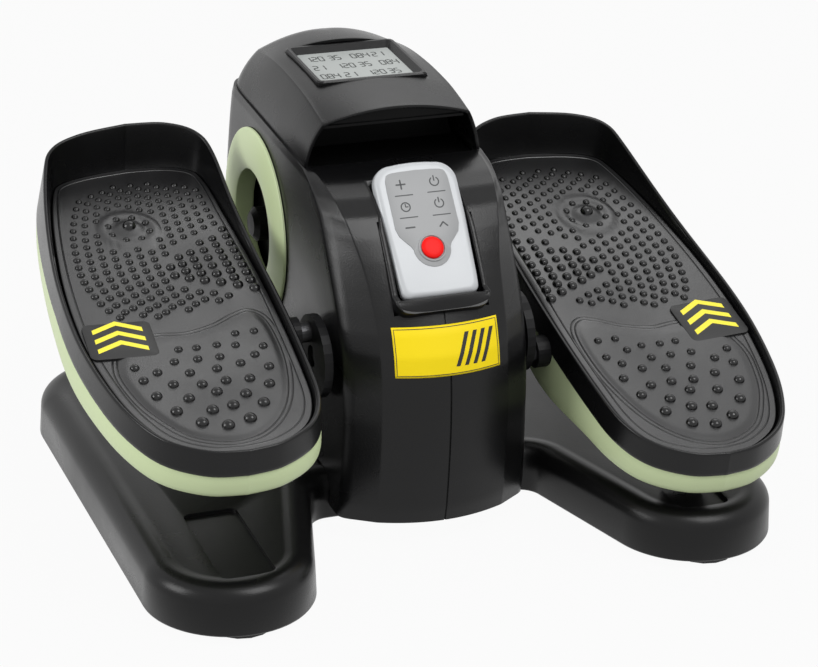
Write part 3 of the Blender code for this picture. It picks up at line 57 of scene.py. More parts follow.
def finish(name, colour, roughness, grain=0.25, scale=1400.0, metallic=0.0, coat=0.0, drift=0.06, stretch=None,
           shine=0.5):
    """A Principled finish with a fine grain in the bump and a slow drift in the roughness.

    grain is the bump's strength, scale its noise scale per metre, drift how far the roughness strays, shine the
    specular level, and stretch lengthens the grain along an axis.
    """
    made = bpy.data.materials.new(name)
    made.use_nodes = True
    tree = made.node_tree
    shader = tree.nodes["Principled BSDF"]
    shader.inputs["Base Color"].default_value = (*colour, 1.0)
    shader.inputs["Metallic"].default_value = metallic
    shader.inputs["Coat Weight"].default_value = coat
    shader.inputs["Specular IOR Level"].default_value = shine
    place = tree.nodes.new("ShaderNodeTexCoord")
    source = place.outputs["Object"]
    if stretch:
        mapping = tree.nodes.new("ShaderNodeMapping")
        mapping.inputs["Scale"].default_value = stretch
        tree.links.new(source, mapping.inputs["Vector"])
        source = mapping.outputs["Vector"]
    fine = tree.nodes.new("ShaderNodeTexNoise")
    fine.inputs["Scale"].default_value = scale
    fine.inputs["Detail"].default_value = 2.0
    tree.links.new(source, fine.inputs["Vector"])
    bump = tree.nodes.new("ShaderNodeBump")
    bump.name = "grain"
    bump.inputs["Strength"].default_value = grain
    bump.inputs["Distance"].default_value = 0.0002
    tree.links.new(fine.outputs["Fac"], bump.inputs["Height"])
    tree.links.new(bump.outputs["Normal"], shader.inputs["Normal"])
    slow = tree.nodes.new("ShaderNodeTexNoise")
    slow.inputs["Scale"].default_value = 11.0
    slow.inputs["Detail"].default_value = 4.0
    tree.links.new(place.outputs["Object"], slow.inputs["Vector"])
    spread = tree.nodes.new("ShaderNodeMapRange")
    spread.inputs["From Min"].default_value = 0.3
    spread.inputs["From Max"].default_value = 0.7
    spread.inputs["To Min"].default_value = roughness - drift
    spread.inputs["To Max"].default_value = roughness + drift
    tree.links.new(slow.outputs["Fac"], spread.inputs["Value"])
    tree.links.new(spread.outputs["Result"], shader.inputs["Roughness"])
    return made


def wear(material, *names):
    """Gives CAD nodes a finish."""
    for name in names:
        nodes[name].data.materials.clear()
        nodes[name].data.materials.append(material)


def together(*values):
    """Numbers and arrays that broadcast to one shape, stacked along a new last axis."""
    return np.stack(np.broadcast_arrays(*values), -1)


def grid_faces(index):
    """Four-sided faces over an array of point numbers: i to i+1, and j to j+1, round from the last j to the first."""
    after = np.roll(index, -1, axis=-1)
    corners = (index[..., :-1, :], after[..., :-1, :], after[..., 1:, :], index[..., 1:, :])
    return np.stack(corners, -1).reshape(-1, 4)


def add_piece(name, mesh, material, body):
    """Puts a mesh in the scene as a piece that rides on a body."""
    mesh.materials.append(material)
    piece = bpy.data.objects.new(name, mesh)
    bpy.context.scene.collection.objects.link(piece)
    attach(piece, body)
    return piece


def skin(name, rows, material, body, around=True, caps=False, sharp=38.0):
    """A piece over a grid of points P[i][j], joined i to i+1 and j to j+1, and j round to 0 where it goes around.

    caps close the first and last rows, and edges sharper than an angle in degrees are shaded sharp.
    """
    rows = np.asarray(rows, float)
    count, width = rows.shape[:2]
    index = np.arange(count * width).reshape(count, width)
    quads = grid_faces(index).reshape(count - 1, width, 4)
    if not around:
        quads = quads[:, :-1]
    faces = quads.reshape(-1, 4).tolist()
    if caps:
        faces += [index[0][::-1].tolist(), index[-1].tolist()]
    mesh = bpy.data.meshes.new(name)
    mesh.from_pydata(rows.reshape(-1, 3).tolist(), [], faces)
    work = bmesh.new()
    work.from_mesh(mesh)
    bmesh.ops.remove_doubles(work, verts=work.verts, dist=1e-7)
    bmesh.ops.dissolve_degenerate(work, edges=work.edges, dist=1e-8)
    bmesh.ops.recalc_face_normals(work, faces=work.faces)
    work.to_mesh(mesh)
    work.free()
    mesh.shade_smooth()
    mesh.set_sharp_from_angle(angle=math.radians(sharp))
    return add_piece(name, mesh, material, body)


def block(name, low, high, radius=0.0):
    """A box's mesh between two corners, its upright edges rounded where a radius is given."""
    work = bmesh.new()
    bmesh.ops.create_cube(work, size=1.0)
    low, high = Vector(low), Vector(high)
    bmesh.ops.scale(work, vec=high - low, verts=work.verts)
    bmesh.ops.translate(work, vec=(high + low) / 2, verts=work.verts)
    if radius:
        upright = [e for e in work.edges if abs(e.verts[0].co.z - e.verts[1].co.z) > 1e-6]
        bmesh.ops.bevel(work, geom=upright, offset=radius, segments=6, profile=0.5, affect="EDGES")
    mesh = bpy.data.meshes.new(name)
    work.to_mesh(mesh)
    work.free()
    return mesh


def tool(name, mesh, matrix=None):
    """A body that cuts others and never shows."""
    cutter = bpy.data.objects.new(name, mesh)
    bpy.context.scene.collection.objects.link(cutter)
    if matrix:
        cutter.matrix_world = matrix
    cutter.hide_render = True
    cutter.hide_viewport = True
    return cutter


def cut(piece, cutter):
    """An exact difference."""
    step = piece.modifiers.new(cutter.name, "BOOLEAN")
    step.operation = "DIFFERENCE"
    step.solver = "EXACT"
    step.object = cutter


def soften(piece, width=0.0005, angle=40, segments=2):
    """A small bevel on the edges sharper than an angle in degrees."""
    step = piece.modifiers.new("soften", "BEVEL")
    step.width = width
    step.segments = segments
    step.limit_method = "ANGLE"
    step.angle_limit = math.radians(angle)


def arc(centre, radius, start, end, count):
    """Points on an arc: centre + radius (cos a, sin a)."""
    angles = np.linspace(start, end, count + 1)
    return np.column_stack([centre[0] + radius * np.cos(angles), centre[1] + radius * np.sin(angles)])


def base_row(z, inset):
    """The base's outline at a height: tangent arcs for the rear edge, rear corner, front lobe and notch fillet.

    A line leans from the lobe to the fillet, of length (fy + n sin a - ly + l sin a) / cos a, where fy and ly are
    the fillet's and the lobe's y, n and l their radii and a the lean. The half is mirrored in X.
    """
    rear_y = REAR_Y - REAR_R
    corner = (CORNER_X, rear_y + math.sqrt((REAR_R - CORNER_R) ** 2 - CORNER_X ** 2))
    meet = math.atan2(corner[1] - rear_y, corner[0])
    run = math.hypot(LOBE_X - corner[0], LOBE_Y - corner[1])
    side = math.atan2(LOBE_Y - corner[1], LOBE_X - corner[0]) + math.acos((LOBE_R - CORNER_R) / run)
    fillet_y, sine, cosine = NOTCH_Y - NOTCH_R, math.sin(WING_LEAN), math.cos(WING_LEAN)
    length = (fillet_y + NOTCH_R * sine - LOBE_Y + LOBE_R * sine) / cosine
    fillet = (LOBE_X - (LOBE_R + NOTCH_R) * cosine - length * sine, fillet_y)
    half = np.vstack([arc((0, rear_y), REAR_R - inset, math.pi / 2, meet, 24)[:-1],
                      arc(corner, CORNER_R - inset, meet, side, 26),
                      arc((LOBE_X, LOBE_Y), LOBE_R - inset, side, WING_LEAN - math.pi, 54),
                      arc(fillet, NOTCH_R + inset, WING_LEAN, math.pi / 2, 16)])
    plan = np.vstack([half, half[1:][::-1] * (-1, 1)])
    return together(plan[:, 0], plan[:, 1], z)


BASE_BLACK = finish("base_black", (0.0036, 0.0036, 0.0038), 0.30, 0.35, 900.0, shine=0.25)
wear(BASE_BLACK, "base_plate")
underside = [(BASE_TOP - 0.0095, 0.0250), (BASE_TOP - 0.0110, 0.0075), (BASE_BOTTOM, 0.0050)]
lower_edge = [(BASE_BOTTOM, 0.0022), (BASE_BOTTOM + 0.0007, 0.0008), (BASE_BOTTOM + 0.0022, 0.0)]
swing = np.linspace(0, math.pi / 2, 14)
shoulder = together(BASE_TOP - SHOULDER_DROP + SHOULDER_DROP * np.sin(swing),
                    0.0012 + SHOULDER_REACH * (1 - np.cos(swing)))
dish = [(BASE_TOP - 0.0004, 0.0190), (BASE_TOP - 0.0012, 0.0215), (BASE_TOP - 0.0014, 0.0245)]
base = skin("base_moulding", [base_row(z, inset) for z, inset in np.vstack([underside, lower_edge, shoulder, dish])],
            BASE_BLACK, "frame", caps=True)
for side, label in SIDES:
    near_x, far_x = sorted((side * TRACK_NEAR_X, side * TRACK_FAR_X))
    groove = block(f"{label}_track", (near_x, TRACK_FRONT_Y, TRACK_FLOOR), (far_x, TRACK_REAR_Y, 0.060), TRACK_CORNER)
    cut(base, tool(f"{label}_track_tool", groove))
soften(base, 0.0012, 50, 3)
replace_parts(base, "base_plate")

# ---- Feet: four round rubber pads, pressed into sockets under the base's corners so that the machine does not
# creep on the floor. They keep their CAD shape, with soft edges.

RUBBER = finish("mat_rubber", (0.0030, 0.0030, 0.0032), 0.20, 0.1, 1800.0, shine=0.42)
for name in ("front_left_foot", "front_right_foot", "rear_left_foot", "rear_right_foot"):
    wear(RUBBER, name)
    soften(nodes[name])

# ---- Housing: two satin black half shells, moulded in plastic and screwed together along a fine seam down the
# middle. The crowned front lies back into the deck under the console, the rear corners are round, and the shells
# are cut for the rings, the crank's axle, the cradle, the inlet and the base.

GAP, WALL = 0.0003, 0.0024
HOUSING_BOTTOM, PARTING_Z, PARTING_RISE, RISE_FROM = 0.018, 0.2555, 0.04, 0.215
FRONT_Z = [0.018, 0.030, 0.055, 0.080, 0.100, 0.120, 0.135, 0.150, 0.165, 0.180, 0.195, 0.210, 0.225, 0.237, 0.246,
           0.252, PARTING_Z - 0.0004, PARTING_Z]
FRONT_Y = [-0.1285, -0.1310, -0.1327, -0.1335, -0.1333, -0.1322, -0.1303, -0.1268, -0.1200, -0.1105, -0.0998,
           -0.0885, -0.0765, -0.0648, -0.0500, -0.0320, -0.0160, -0.0040]
FACE_Z = [0.018, 0.100, 0.150, 0.181, 0.204, 0.223, 0.246, PARTING_Z]
FACE_HALF = [0.0492, 0.0490, 0.0490, 0.0500, 0.0520, 0.0560, 0.0620, 0.0650]
CROWN_LOW, CROWN_HIGH, CROWN_FROM = 0.0107, 0.0010, 0.15
FLANK_Z, FLANK_X = [HOUSING_BOTTOM, 0.085, 0.250, PARTING_Z + 0.01], [0.0735, 0.0715, 0.0715, 0.0693]
BACK_Z = [HOUSING_BOTTOM, 0.050, 0.150, 0.190, 0.220, 0.245, PARTING_Z + 0.008]
BACK_Y = [0.2045, 0.2105, 0.2105, 0.2070, 0.2020, 0.1955, 0.189]
CHAMFER_Z, CHAMFER = [0.100, 0.190, 0.224, 0.246, PARTING_Z], [0.019, 0.022, 0.023, 0.020, 0.012]
SEAM_HALF, SEAM_MOUTH = 0.0004, 0.0007
WHEEL_Y, WHEEL_Z, RING_INNER = 0.106, 0.171, 0.043
CRANK_Y, CRANK_Z = -0.0610, 0.1318
REMOTE_SEAT, REMOTE_SLOPE = Vector((0.0, -0.109, 0.190)), math.radians(47.8)
INLET_LOW_Z, INLET_HIGH_Z = 0.0637, 0.0843
BASE_STEPS = ((0.0, 0.0125), (0.0022, 0.0078), (0.0050, 0.0042), (0.0085, 0.0016), (0.0130, 0.0))


def cubic(x, xs, ys):
    """A smooth curve through keys: Hermite spans whose slopes are the keys' central differences.

    With t from 0 to 1 in a span of length h, heights y and slopes m:
    (1 + 2t)(1 - t)^2 y0 + t (1 - t)^2 h m0 + t^2 (3 - 2t) y1 + t^2 (t - 1) h m1.
    """
    xs, ys, x = np.asarray(xs, float), np.asarray(ys, float), np.asarray(x, float)
    slope = np.gradient(ys, xs)
    k = np.clip(np.searchsorted(xs, x) - 1, 0, len(xs) - 2)
    h = xs[k + 1] - xs[k]
    t = np.clip((x - xs[k]) / h, 0.0, 1.0)
    return ((1 + 2 * t) * (1 - t) ** 2 * ys[k] + t * (1 - t) ** 2 * h * slope[k]
            + t * t * (3 - 2 * t) * ys[k + 1] + t * t * (t - 1) * h * slope[k + 1])


def front_y(z):
    """The front's centre line."""
    return np.interp(z, FRONT_Z, FRONT_Y)


def front_point(x, z, proud=0.0):
    """Points on the crowned front: y = F(z) + c (x / e)^2, where e is half the face's width and c eases upward."""
    x, z = np.asarray(x, float), np.asarray(z, float)
    ease = np.clip((z - CROWN_FROM) / (PARTING_Z - CROWN_FROM), 0.0, 1.0)
    crown = CROWN_LOW * (1 - ease) + CROWN_HIGH * ease
    return together(x, front_y(z) - proud + crown * (x / cubic(z, FACE_Z, FACE_HALF)) ** 2, z)


def corner_points(before, corner, after, reach, count):
    """A rounded corner of a plan: the curve p = (1-t)^2 a + 2t(1-t) c + t^2 b between points near the corner."""
    a = corner + (before - corner) * min(reach / np.linalg.norm(before - corner), 0.5)
    b = corner + (after - corner) * min(reach / np.linalg.norm(after - corner), 0.5)
    t = np.linspace(0.02, 1, count)[:, None]
    return (1 - t) ** 2 * a + 2 * t * (1 - t) * corner + t * t * b


def housing_section(z):
    """Half a plan section at a height, from the front seam over the face, chamfer, flank and corner to the rear."""
    face_half, width = cubic(z, FACE_Z, FACE_HALF), np.interp(z, FLANK_Z, FLANK_X)
    rear, chamfer = cubic(z, BACK_Z, BACK_Y), np.interp(z, CHAMFER_Z, CHAMFER)
    face = front_point(np.linspace(0.002, face_half - 0.0012, 20), z)[:, :2]
    start = front_point(face_half, z)[:2]
    end = np.array((width, start[1] + chamfer))
    bend = np.array((max(width - 0.0035, face_half + 0.0005), end[1] - 0.28 * chamfer))
    corners = np.vstack([corner_points(face[-1], start, bend, 0.0012, 5), corner_points(start, bend, end, 0.0045, 9),
                         corner_points(bend, end, end + (0, 0.02), 0.0030, 5)])
    back_start = rear - 0.036
    flank = together(width, np.linspace(corners[-1, 1], back_start, 30)[1:-1])
    keys = np.array([(width, back_start - 0.02), (width, back_start), (width - 0.0014, rear - 0.0180),
                     (width - 0.0080, rear - 0.0062), (width - 0.0215, rear - 0.0009), (0.024, rear), (0.001, rear)])
    run = np.concatenate([[0], np.cumsum(np.linalg.norm(np.diff(keys, axis=0), axis=1))])
    along = np.linspace(run[1], run[-1], 26)
    turn = together(cubic(along, run, keys[:, 0]), cubic(along, run, keys[:, 1]))
    return np.vstack([(SEAM_HALF, front_y(z) + 0.0004), (SEAM_MOUTH, front_y(z)), face, corners, flank, turn,
                      (SEAM_HALF, rear - 0.0004)])


def joint_sloped(rows):
    """Lifts the upper rows to the sloping joint under the console: z + rise y, eased in with the height."""
    ease = np.clip((rows[..., 2] - RISE_FROM) / (PARTING_Z - RISE_FROM), 0, 1)
    return together(rows[..., 0], rows[..., 1], rows[..., 2] + PARTING_RISE * np.maximum(rows[..., 1], 0) * ease)


def round_tool(name, radius, segments):
    """A round bar's mesh along X, through both shells."""
    work = bmesh.new()
    bmesh.ops.create_cone(work, cap_ends=True, segments=segments, radius1=radius, radius2=radius, depth=0.2,
                          matrix=Matrix.Rotation(math.pi / 2, 4, "Y"))
    mesh = bpy.data.meshes.new(name)
    work.to_mesh(mesh)
    work.free()
    return mesh


BLACK = finish("satin_black", (0.0036, 0.0036, 0.0039), 0.27, 0.5, 900.0, shine=0.28)
DARK = finish("inner_black", (0.0015, 0.0015, 0.0016), 0.50, shine=0.15)
wear(BLACK, "left_housing", "right_housing")
cradle_matrix = Matrix.Translation(REMOTE_SEAT) @ Matrix.Rotation(REMOTE_SLOPE, 4, "X")
holes = [tool(f"base_tool_{step}", block(f"base_tool_{step}", (-0.12, NOTCH_Y - GAP + back, 0.0),
                                         (0.12, 0.30, BASE_TOP + GAP - low)))
         for step, (back, low) in enumerate(BASE_STEPS)]
holes += [
    tool("axle_tool", round_tool("axle_tool", 0.011, 96), Matrix.Translation((0, CRANK_Y, CRANK_Z))),
    tool("ring_tool", round_tool("ring_tool", RING_INNER + 0.0035, 128), Matrix.Translation((0, WHEEL_Y, WHEEL_Z))),
    tool("dock_tool", block("dock_tool", (-0.0366, -0.0088, -0.024), (0.0366, 0.0610, 0.03)), cradle_matrix),
    tool("bed_tool", block("bed_tool", (-0.0340, 0.0600, -0.024), (0.0340, 0.0975, 0.03)), cradle_matrix),
    tool("inlet_tool", block("inlet_tool", (0.0097, 0.19, INLET_LOW_Z), (0.0383, 0.23, INLET_HIGH_Z))),
    tool("switch_tool", block("switch_tool", (-0.0343, 0.19, INLET_LOW_Z), (-0.0137, 0.23, INLET_HIGH_Z))),
]
heights = np.concatenate([np.linspace(HOUSING_BOTTOM, 0.13, 30), np.linspace(0.13, 0.246, 62)[1:],
                          np.linspace(0.246, 0.2551, 10)[1:], [0.2553, 0.2555]])
sections = np.stack([housing_section(z) for z in heights])
outer = together(sections[..., 0], sections[..., 1], heights[:, None])
run = np.gradient(sections, axis=1)
run /= np.linalg.norm(run, axis=-1)[..., None]
inner = outer + WALL * together(-run[..., 1], run[..., 0], 0.0)
inner[:, [0, -1], 0] = SEAM_HALF
inner[:, 0, 1], inner[:, -1, 1] = outer[:, 1, 1] + WALL, outer[:, -2, 1] - WALL
inner[..., 0] = np.maximum(inner[..., 0], SEAM_HALF)
shell_rows = joint_sloped(np.concatenate([outer, inner[::-1]]).transpose(1, 0, 2))
for side, label in SIDES:
    half = skin(f"{label}_half_shell", shell_rows * (side, 1, 1), BLACK, "frame", caps=True, sharp=32.0)
    for cutter in holes:
        cut(half, cutter)
    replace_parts(half, f"{label}_housing")
# A tongue closes the seam from inside, front and rear
tongue_x = SEAM_MOUTH * np.array((-1, 1, 1, -1))
tongue_depth = np.array((0.0007, 0.0007, 0.0019, 0.0019))
for name, line, inward in (("front_seam", outer[:, 1, 1], 1), ("rear_seam", outer[:, -2, 1], -1)):
    rows = joint_sloped(together(tongue_x, line[:, None] + inward * tongue_depth, heights[:, None]))
    tongue = skin(f"{name}_tongue", rows, DARK, "frame", caps=True)
    for cutter in holes:
        cut(tongue, cutter)

# ---- Console cover: a satin black plastic cap, moulded with leaning skirts, a crisp crease and a crowned top that
# is cut for the display. It clips over the housing along the sloping joint.

SKIRT_HALF, CAP_REAR, CAP_WALL = 0.0693, 0.189, 0.0025
CAP_Y = np.array([0.0, 0.022, 0.046, 0.084, 0.123, 0.1595])
CREASE_BACK = 0.0055
CREASE_Y = [-0.0055, 0.030, 0.060, 0.090, 0.120, 0.154]
CREASE_X, CREASE_Z = [0.0575, 0.0575, 0.0572, 0.0568, 0.0560, 0.0545], [0.2890, 0.2960, 0.2988, 0.2995, 0.2985, 0.2940]
SPINE_Y = [-0.006, 0.03, 0.06, 0.09, 0.12, 0.14, 0.152, 0.165]
SPINE_Z = [0.2980, 0.3022, 0.3048, 0.3070, 0.3088, 0.3090, 0.3082, 0.3050]
screen_matrix = Matrix.Translation((0, 0.0846, 0.3042)) @ Matrix.Rotation(math.radians(1.7), 4, "X")


def through(points, samples):
    """A smooth curve through points, by their index: cubic on each coordinate."""
    points = np.asarray(points, float)
    return np.column_stack([cubic(samples, np.arange(len(points)), values) for values in points.T])


def mean_normal(mesh):
    """The mean of a mesh's face normals, which tells the way an open sheet faces."""
    normals = np.empty(len(mesh.polygons) * 3)
    mesh.polygons.foreach_get("normal", normals)
    return normals.reshape(-1, 3).mean(0)


wear(BLACK, "console_cover")
crease_y = CAP_Y - CREASE_BACK
feet = np.vstack([together(SKIRT_HALF, np.minimum(CAP_Y, 0.153)),
                  [(0.0679, CAP_REAR - 0.0180), (0.0613, CAP_REAR - 0.0062), (0.0478, CAP_REAR - 0.0009),
                   (0.024, CAP_REAR), (0.0, CAP_REAR)]])
creases = np.vstack([together(cubic(crease_y, CREASE_Y, CREASE_X), crease_y, cubic(crease_y, CREASE_Y, CREASE_Z)),
                     [(0.0525, 0.1655, 0.2920), (0.0465, 0.1730, 0.2900), (0.0350, 0.1770, 0.2885),
                      (0.0190, 0.1782, 0.2875), (0.0, 0.1785, 0.2870)]])
crowns = np.concatenate([np.minimum(crease_y, 0.146), [0.150, 0.154, 0.158, 0.162, 0.165]])
samples = np.concatenate([np.linspace(0, 5, 36), np.linspace(5, 10, 36)[1:]])
foot_line, crease = through(feet, samples), through(creases, samples)[:, None]
crown_y = cubic(samples, np.arange(len(crowns)), crowns)
foot = together(foot_line[:, 0], foot_line[:, 1],
                PARTING_Z + PARTING_RISE * np.maximum(foot_line[:, 1], 0.0) + GAP)[:, None]
top = together(0.0, crown_y, cubic(crown_y, SPINE_Y, SPINE_Z))[:, None]
swell = together(np.where(foot_line[:, 0] > 0.001, 0.0014, 0.0), 0.0008, 0.0010)[:, None]
t = np.linspace(0, 0.96, 9)[None, :, None]
skirt = foot + (crease - foot) * t + swell * 4 * t * (1 - t)
rim = [crease + (foot - crease) * 0.012, crease + (top - crease) * 0.012 + (0, 0, 0.0003)]
t = np.linspace(0.04, 1.0, 22)[None, :, None]
crown = crease + (top - crease) * np.concatenate([t, t, 1 - (1 - t) ** 2], axis=-1)
rows = np.concatenate([skirt, *rim, crown], axis=1)
rows[-1, :, 0] = 0.0
cover = skin("console_cap", rows, BLACK, "frame", around=False, sharp=24.0)
if mean_normal(cover.data)[2] < 0:
    cover.data.flip_normals()
mirror = cover.modifiers.new("mirror", "MIRROR")
mirror.use_clip = True
mirror.merge_threshold = 0.0001
wall = cover.modifiers.new("wall", "SOLIDIFY")
wall.thickness = CAP_WALL
wall.offset = -1
cut(cover, tool("display_tool", block("display_tool", (-0.0443, -0.0405, -0.03), (0.0443, 0.0405, 0.03), 0.004),
                screen_matrix))
soften(cover, 0.0006, 60)
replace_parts(cover, "console_cover")

# ---- Hand-grip pocket: the dark liner under the console's brow, open to the front, where a hand lifts the machine.
# The real one is a thin matt plastic tray clipped between the shells.

wear(DARK, "grip_pocket")

# ---- Display: a satin black bezel frame with soft edges holds a grey-green liquid crystal window, set back in it.
# Its small board sits behind, and the digits are generic seven-segment ones.

DIGIT_WIDE, DIGIT_HALF_HIGH, DIGIT_STEP, STROKE, STROKE_TRIM = 0.0036, 0.0045, 0.0052, 0.0009, 0.0006
GLASS_FACE = -0.0036
SEGMENTS = {"a": (0, 1, 1, 0), "g": (0, 0.5, 1, 0), "d": (0, 0, 1, 0), "f": (0, 0.5, 0, 1), "b": (1, 0.5, 0, 1),
            "e": (0, 0, 0, 1), "c": (1, 0, 0, 1)}
DIGITS = {"0": "abcdef", "1": "bc", "2": "abged", "3": "abgcd", "4": "fgbc", "5": "afgcd", "8": "abcdefg"}


def placed(points, matrix):
    """Points carried by a matrix: R p + t."""
    turn = np.array(matrix)
    return np.asarray(points, float) @ turn[:3, :3].T + turn[:3, 3]


def strokes(name, bars, material, body, matrix, height=0.00012):
    """Printed bars (start, end, width), each a flat six-sided strip whose ends reach out by 0.45 of its width.

    With a unit vector d along it and n across it, a strip runs through a - 0.45 w d, a + w n / 2, b + w n / 2,
    b + 0.45 w d, b - w n / 2 and a - w n / 2.
    """
    start, end = (np.array([bar[k] for bar in bars], float) for k in (0, 1))
    width = np.array([bar[2] for bar in bars])[:, None]
    along = (end - start) / np.linalg.norm(end - start, axis=1)[:, None]
    tip, across = 0.45 * width * along, 0.5 * width * along[:, ::-1] * (-1, 1)
    ring = np.stack([start - tip, start + across, end + across, end + tip, end - across, start - across], 1)
    points = together(ring[:, None, :, 0], ring[:, None, :, 1], np.array((0.0, height))[:, None])
    low, high = np.arange(len(bars) * 12).reshape(-1, 2, 6).transpose(1, 0, 2)
    walls = np.stack([low, high, np.roll(high, -1, 1), np.roll(low, -1, 1)], -1).reshape(-1, 4)
    mesh = bpy.data.meshes.new(name)
    mesh.from_pydata(placed(points, matrix).reshape(-1, 3).tolist(), [],
                     low.tolist() + high[:, ::-1].tolist() + walls.tolist())
    return add_piece(name, mesh, material, body)


SCREEN = finish("screen_grey", (0.34, 0.36, 0.35), 0.30, 0.02, 900.0, shine=0.4)
SCREEN_INK = finish("screen_segments", (0.020, 0.024, 0.022), 0.5, 0.02)
BOARD = finish("board_green", (0.012, 0.10, 0.035), 0.40, 0.2, 600.0, coat=0.3)
wear(BLACK, "display_bezel")
soften(nodes["display_bezel"])
wear(BOARD, "display_board")
wear(SCREEN, "display_lens")
sheet = block("screen_sheet", (-0.0383, -0.0348, GLASS_FACE - 0.0010), (0.0383, 0.0340, GLASS_FACE))
sheet.transform(screen_matrix)
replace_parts(add_piece("screen_glass", sheet, SCREEN, "frame"), "display_lens")
bars = []
for column, left in enumerate((-0.0335, -0.0150, 0.0030, 0.0200)):
    for row, base_y in enumerate((0.0150, -0.0040, -0.0230)):
        for place, mark in enumerate(("120", "35", "084", "21")[(column + 3 * row) % 4]):
            x = left + DIGIT_STEP * place
            for key in DIGITS[mark]:
                sx, sy, dx, dy = SEGMENTS[key]
                x0, y0 = x + sx * DIGIT_WIDE, base_y + sy * 2 * DIGIT_HALF_HIGH
                x1, y1 = x0 + dx * DIGIT_WIDE, y0 + dy * DIGIT_HALF_HIGH
                bars.append(((x0 + STROKE_TRIM * dx, y0 + STROKE_TRIM * dy),
                             (x1 - STROKE_TRIM * dx, y1 - STROKE_TRIM * dy), STROKE))
strokes("screen_digits", bars, SCREEN_INK, "frame",
        screen_matrix @ Matrix.Translation((0, 0, GLASS_FACE + 0.00003)))

# ---- Side rings and hub caps: pale green plastic trim rings, turned in at the dark opening where a black cap closes
# the wheel's hub. The real ring is moulded and pushed into the housing's round hole.

RING_RADIUS, RING_FACE = 0.0755, 0.0715 + GAP


def turned(profile, angles):
    """A profile of (radius, height) turned about Z: (r cos a, r sin a, h)."""
    radius, height = np.asarray(profile, float).T[:, :, None]
    return together(radius * np.cos(angles), radius * np.sin(angles), height)


GREEN = finish("pale_green", (0.63, 0.735, 0.43), 0.42, 0.12)
ring_keys = [(RING_RADIUS - 0.004, RING_FACE), (RING_RADIUS - 0.0003, RING_FACE + 0.0001),
             (RING_RADIUS, RING_FACE + 0.0008), (RING_RADIUS - 0.0012, RING_FACE + 0.0022),
             (RING_RADIUS - 0.010, RING_FACE + 0.0043), (RING_INNER + 0.014, RING_FACE + 0.0052),
             (RING_INNER + 0.006, RING_FACE + 0.0048), (RING_INNER + 0.0012, RING_FACE + 0.0036),
             (RING_INNER + 0.0002, RING_FACE + 0.0020), (RING_INNER - 0.0002, RING_FACE - 0.004),
             (RING_INNER - 0.0005, RING_FACE - 0.0110), (RING_INNER + 0.0020, RING_FACE - 0.0110)]
profile = through(ring_keys, np.linspace(0, len(ring_keys) - 1, 60))
ring_rows = turned(profile, np.linspace(0, math.tau, 145)[:-1])[..., [2, 0, 1]] + (0, WHEEL_Y, WHEEL_Z)
for side, label in SIDES:
    wear(GREEN, f"{label}_ring")
    ring = skin(f"{label}_trim_ring", ring_rows * (side, 1, 1), GREEN, "frame", sharp=50.0)
    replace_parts(ring, f"{label}_ring")
    wear(DARK, f"{label}_hub_cap")
    soften(nodes[f"{label}_hub_cap"])

# ---- Remote cradle: a satin black plastic dock let into the sloping deck, open at the top, with a thin rim that
# follows the deck and a curved lip at its foot that holds the remote. It is screwed from inside the housing.

DOCK_DEPTH, BED_DEPTH, DOCK_CORNER, DOCK_FOOT = -0.0175, -0.0153, 0.011, -0.0118
LIP_HALF = 0.035

wear(BLACK, "remote_cradle")
deck_z = np.linspace(0.16, 0.252, 60)
deck = together(front_y(deck_z) - REMOTE_SEAT.y, deck_z - REMOTE_SEAT.z)
deck_along = deck @ (math.cos(REMOTE_SLOPE), math.sin(REMOTE_SLOPE))
deck_high = deck @ (-math.sin(REMOTE_SLOPE), math.cos(REMOTE_SLOPE))
s = np.concatenate([np.linspace(DOCK_FOOT, -0.0009, 12), [-0.0008], np.linspace(0.004, 0.098, 40)])
rim = np.maximum(np.interp(s, deck_along, deck_high) + 0.0007, np.where(s < 0, 0.0004, -0.014))
bed = np.where(s > -0.00085, BED_DEPTH, rim - 0.0003)
half = np.interp(s, [0.054, 0.066], [0.0366, 0.0342]) - DOCK_CORNER + np.sqrt(
    DOCK_CORNER ** 2 - np.maximum(DOCK_CORNER - (s - DOCK_FOOT), 0.0) ** 2)
inside = np.minimum(0.0326, half - 0.0010)
across = together(0.0, half, half, half - 0.0003, half - 0.0009, inside + 0.0003, inside, inside, 0.0)
high = together(DOCK_DEPTH, DOCK_DEPTH, rim - 0.0012, rim - 0.0004, rim, rim, rim - 0.0003, bed, bed)
rows = together(np.hstack([across, -across[:, -2:0:-1]]), s[:, None], np.hstack([high, high[:, -2:0:-1]]))
dock = skin("cradle_dock", placed(rows, cradle_matrix), BLACK, "frame", caps=True, sharp=45.0)
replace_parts(dock, "remote_cradle")
lip_x = np.linspace(-0.0345, 0.0345, 41)
crest = 0.0006 + 0.0036 * (1 - (lip_x / LIP_HALF) ** 2)
low = -0.0112 + 0.0050 * (lip_x / LIP_HALF) ** 4
lip_along = together(low, low, low + 0.0012, low + 0.0040, -0.0030, -0.0018, -0.0012, -0.0011)
lip_high = together(-0.0040, 0.0004, 0.0010, 0.0010 + 0.6 * (crest - 0.001), crest, crest + 0.0001, crest - 0.0005,
                    -0.0040)
skin("cradle_lip", placed(together(lip_x[:, None], lip_along, lip_high), cradle_matrix), BLACK, "frame",
     caps=True, sharp=45.0)

# ---- Remote control: a silver plastic face shell with round shoulders on a black back, a grey key film that
# narrows round a red button in a raised collar, and generic printed symbols. It lifts out of the cradle.

REMOTE_LENGTH, REMOTE_HALF, REMOTE_FOOT, BUTTON_ALONG = 0.103, 0.0322, 0.0297, 0.036
FOOT_CORNER, TOP_CORNER = 0.006, 0.015
SHELL_PARTING, SHOULDER_FROM = -0.0085, -0.0036
SYMBOL_COLUMN, BAR = 0.0130, 0.0012


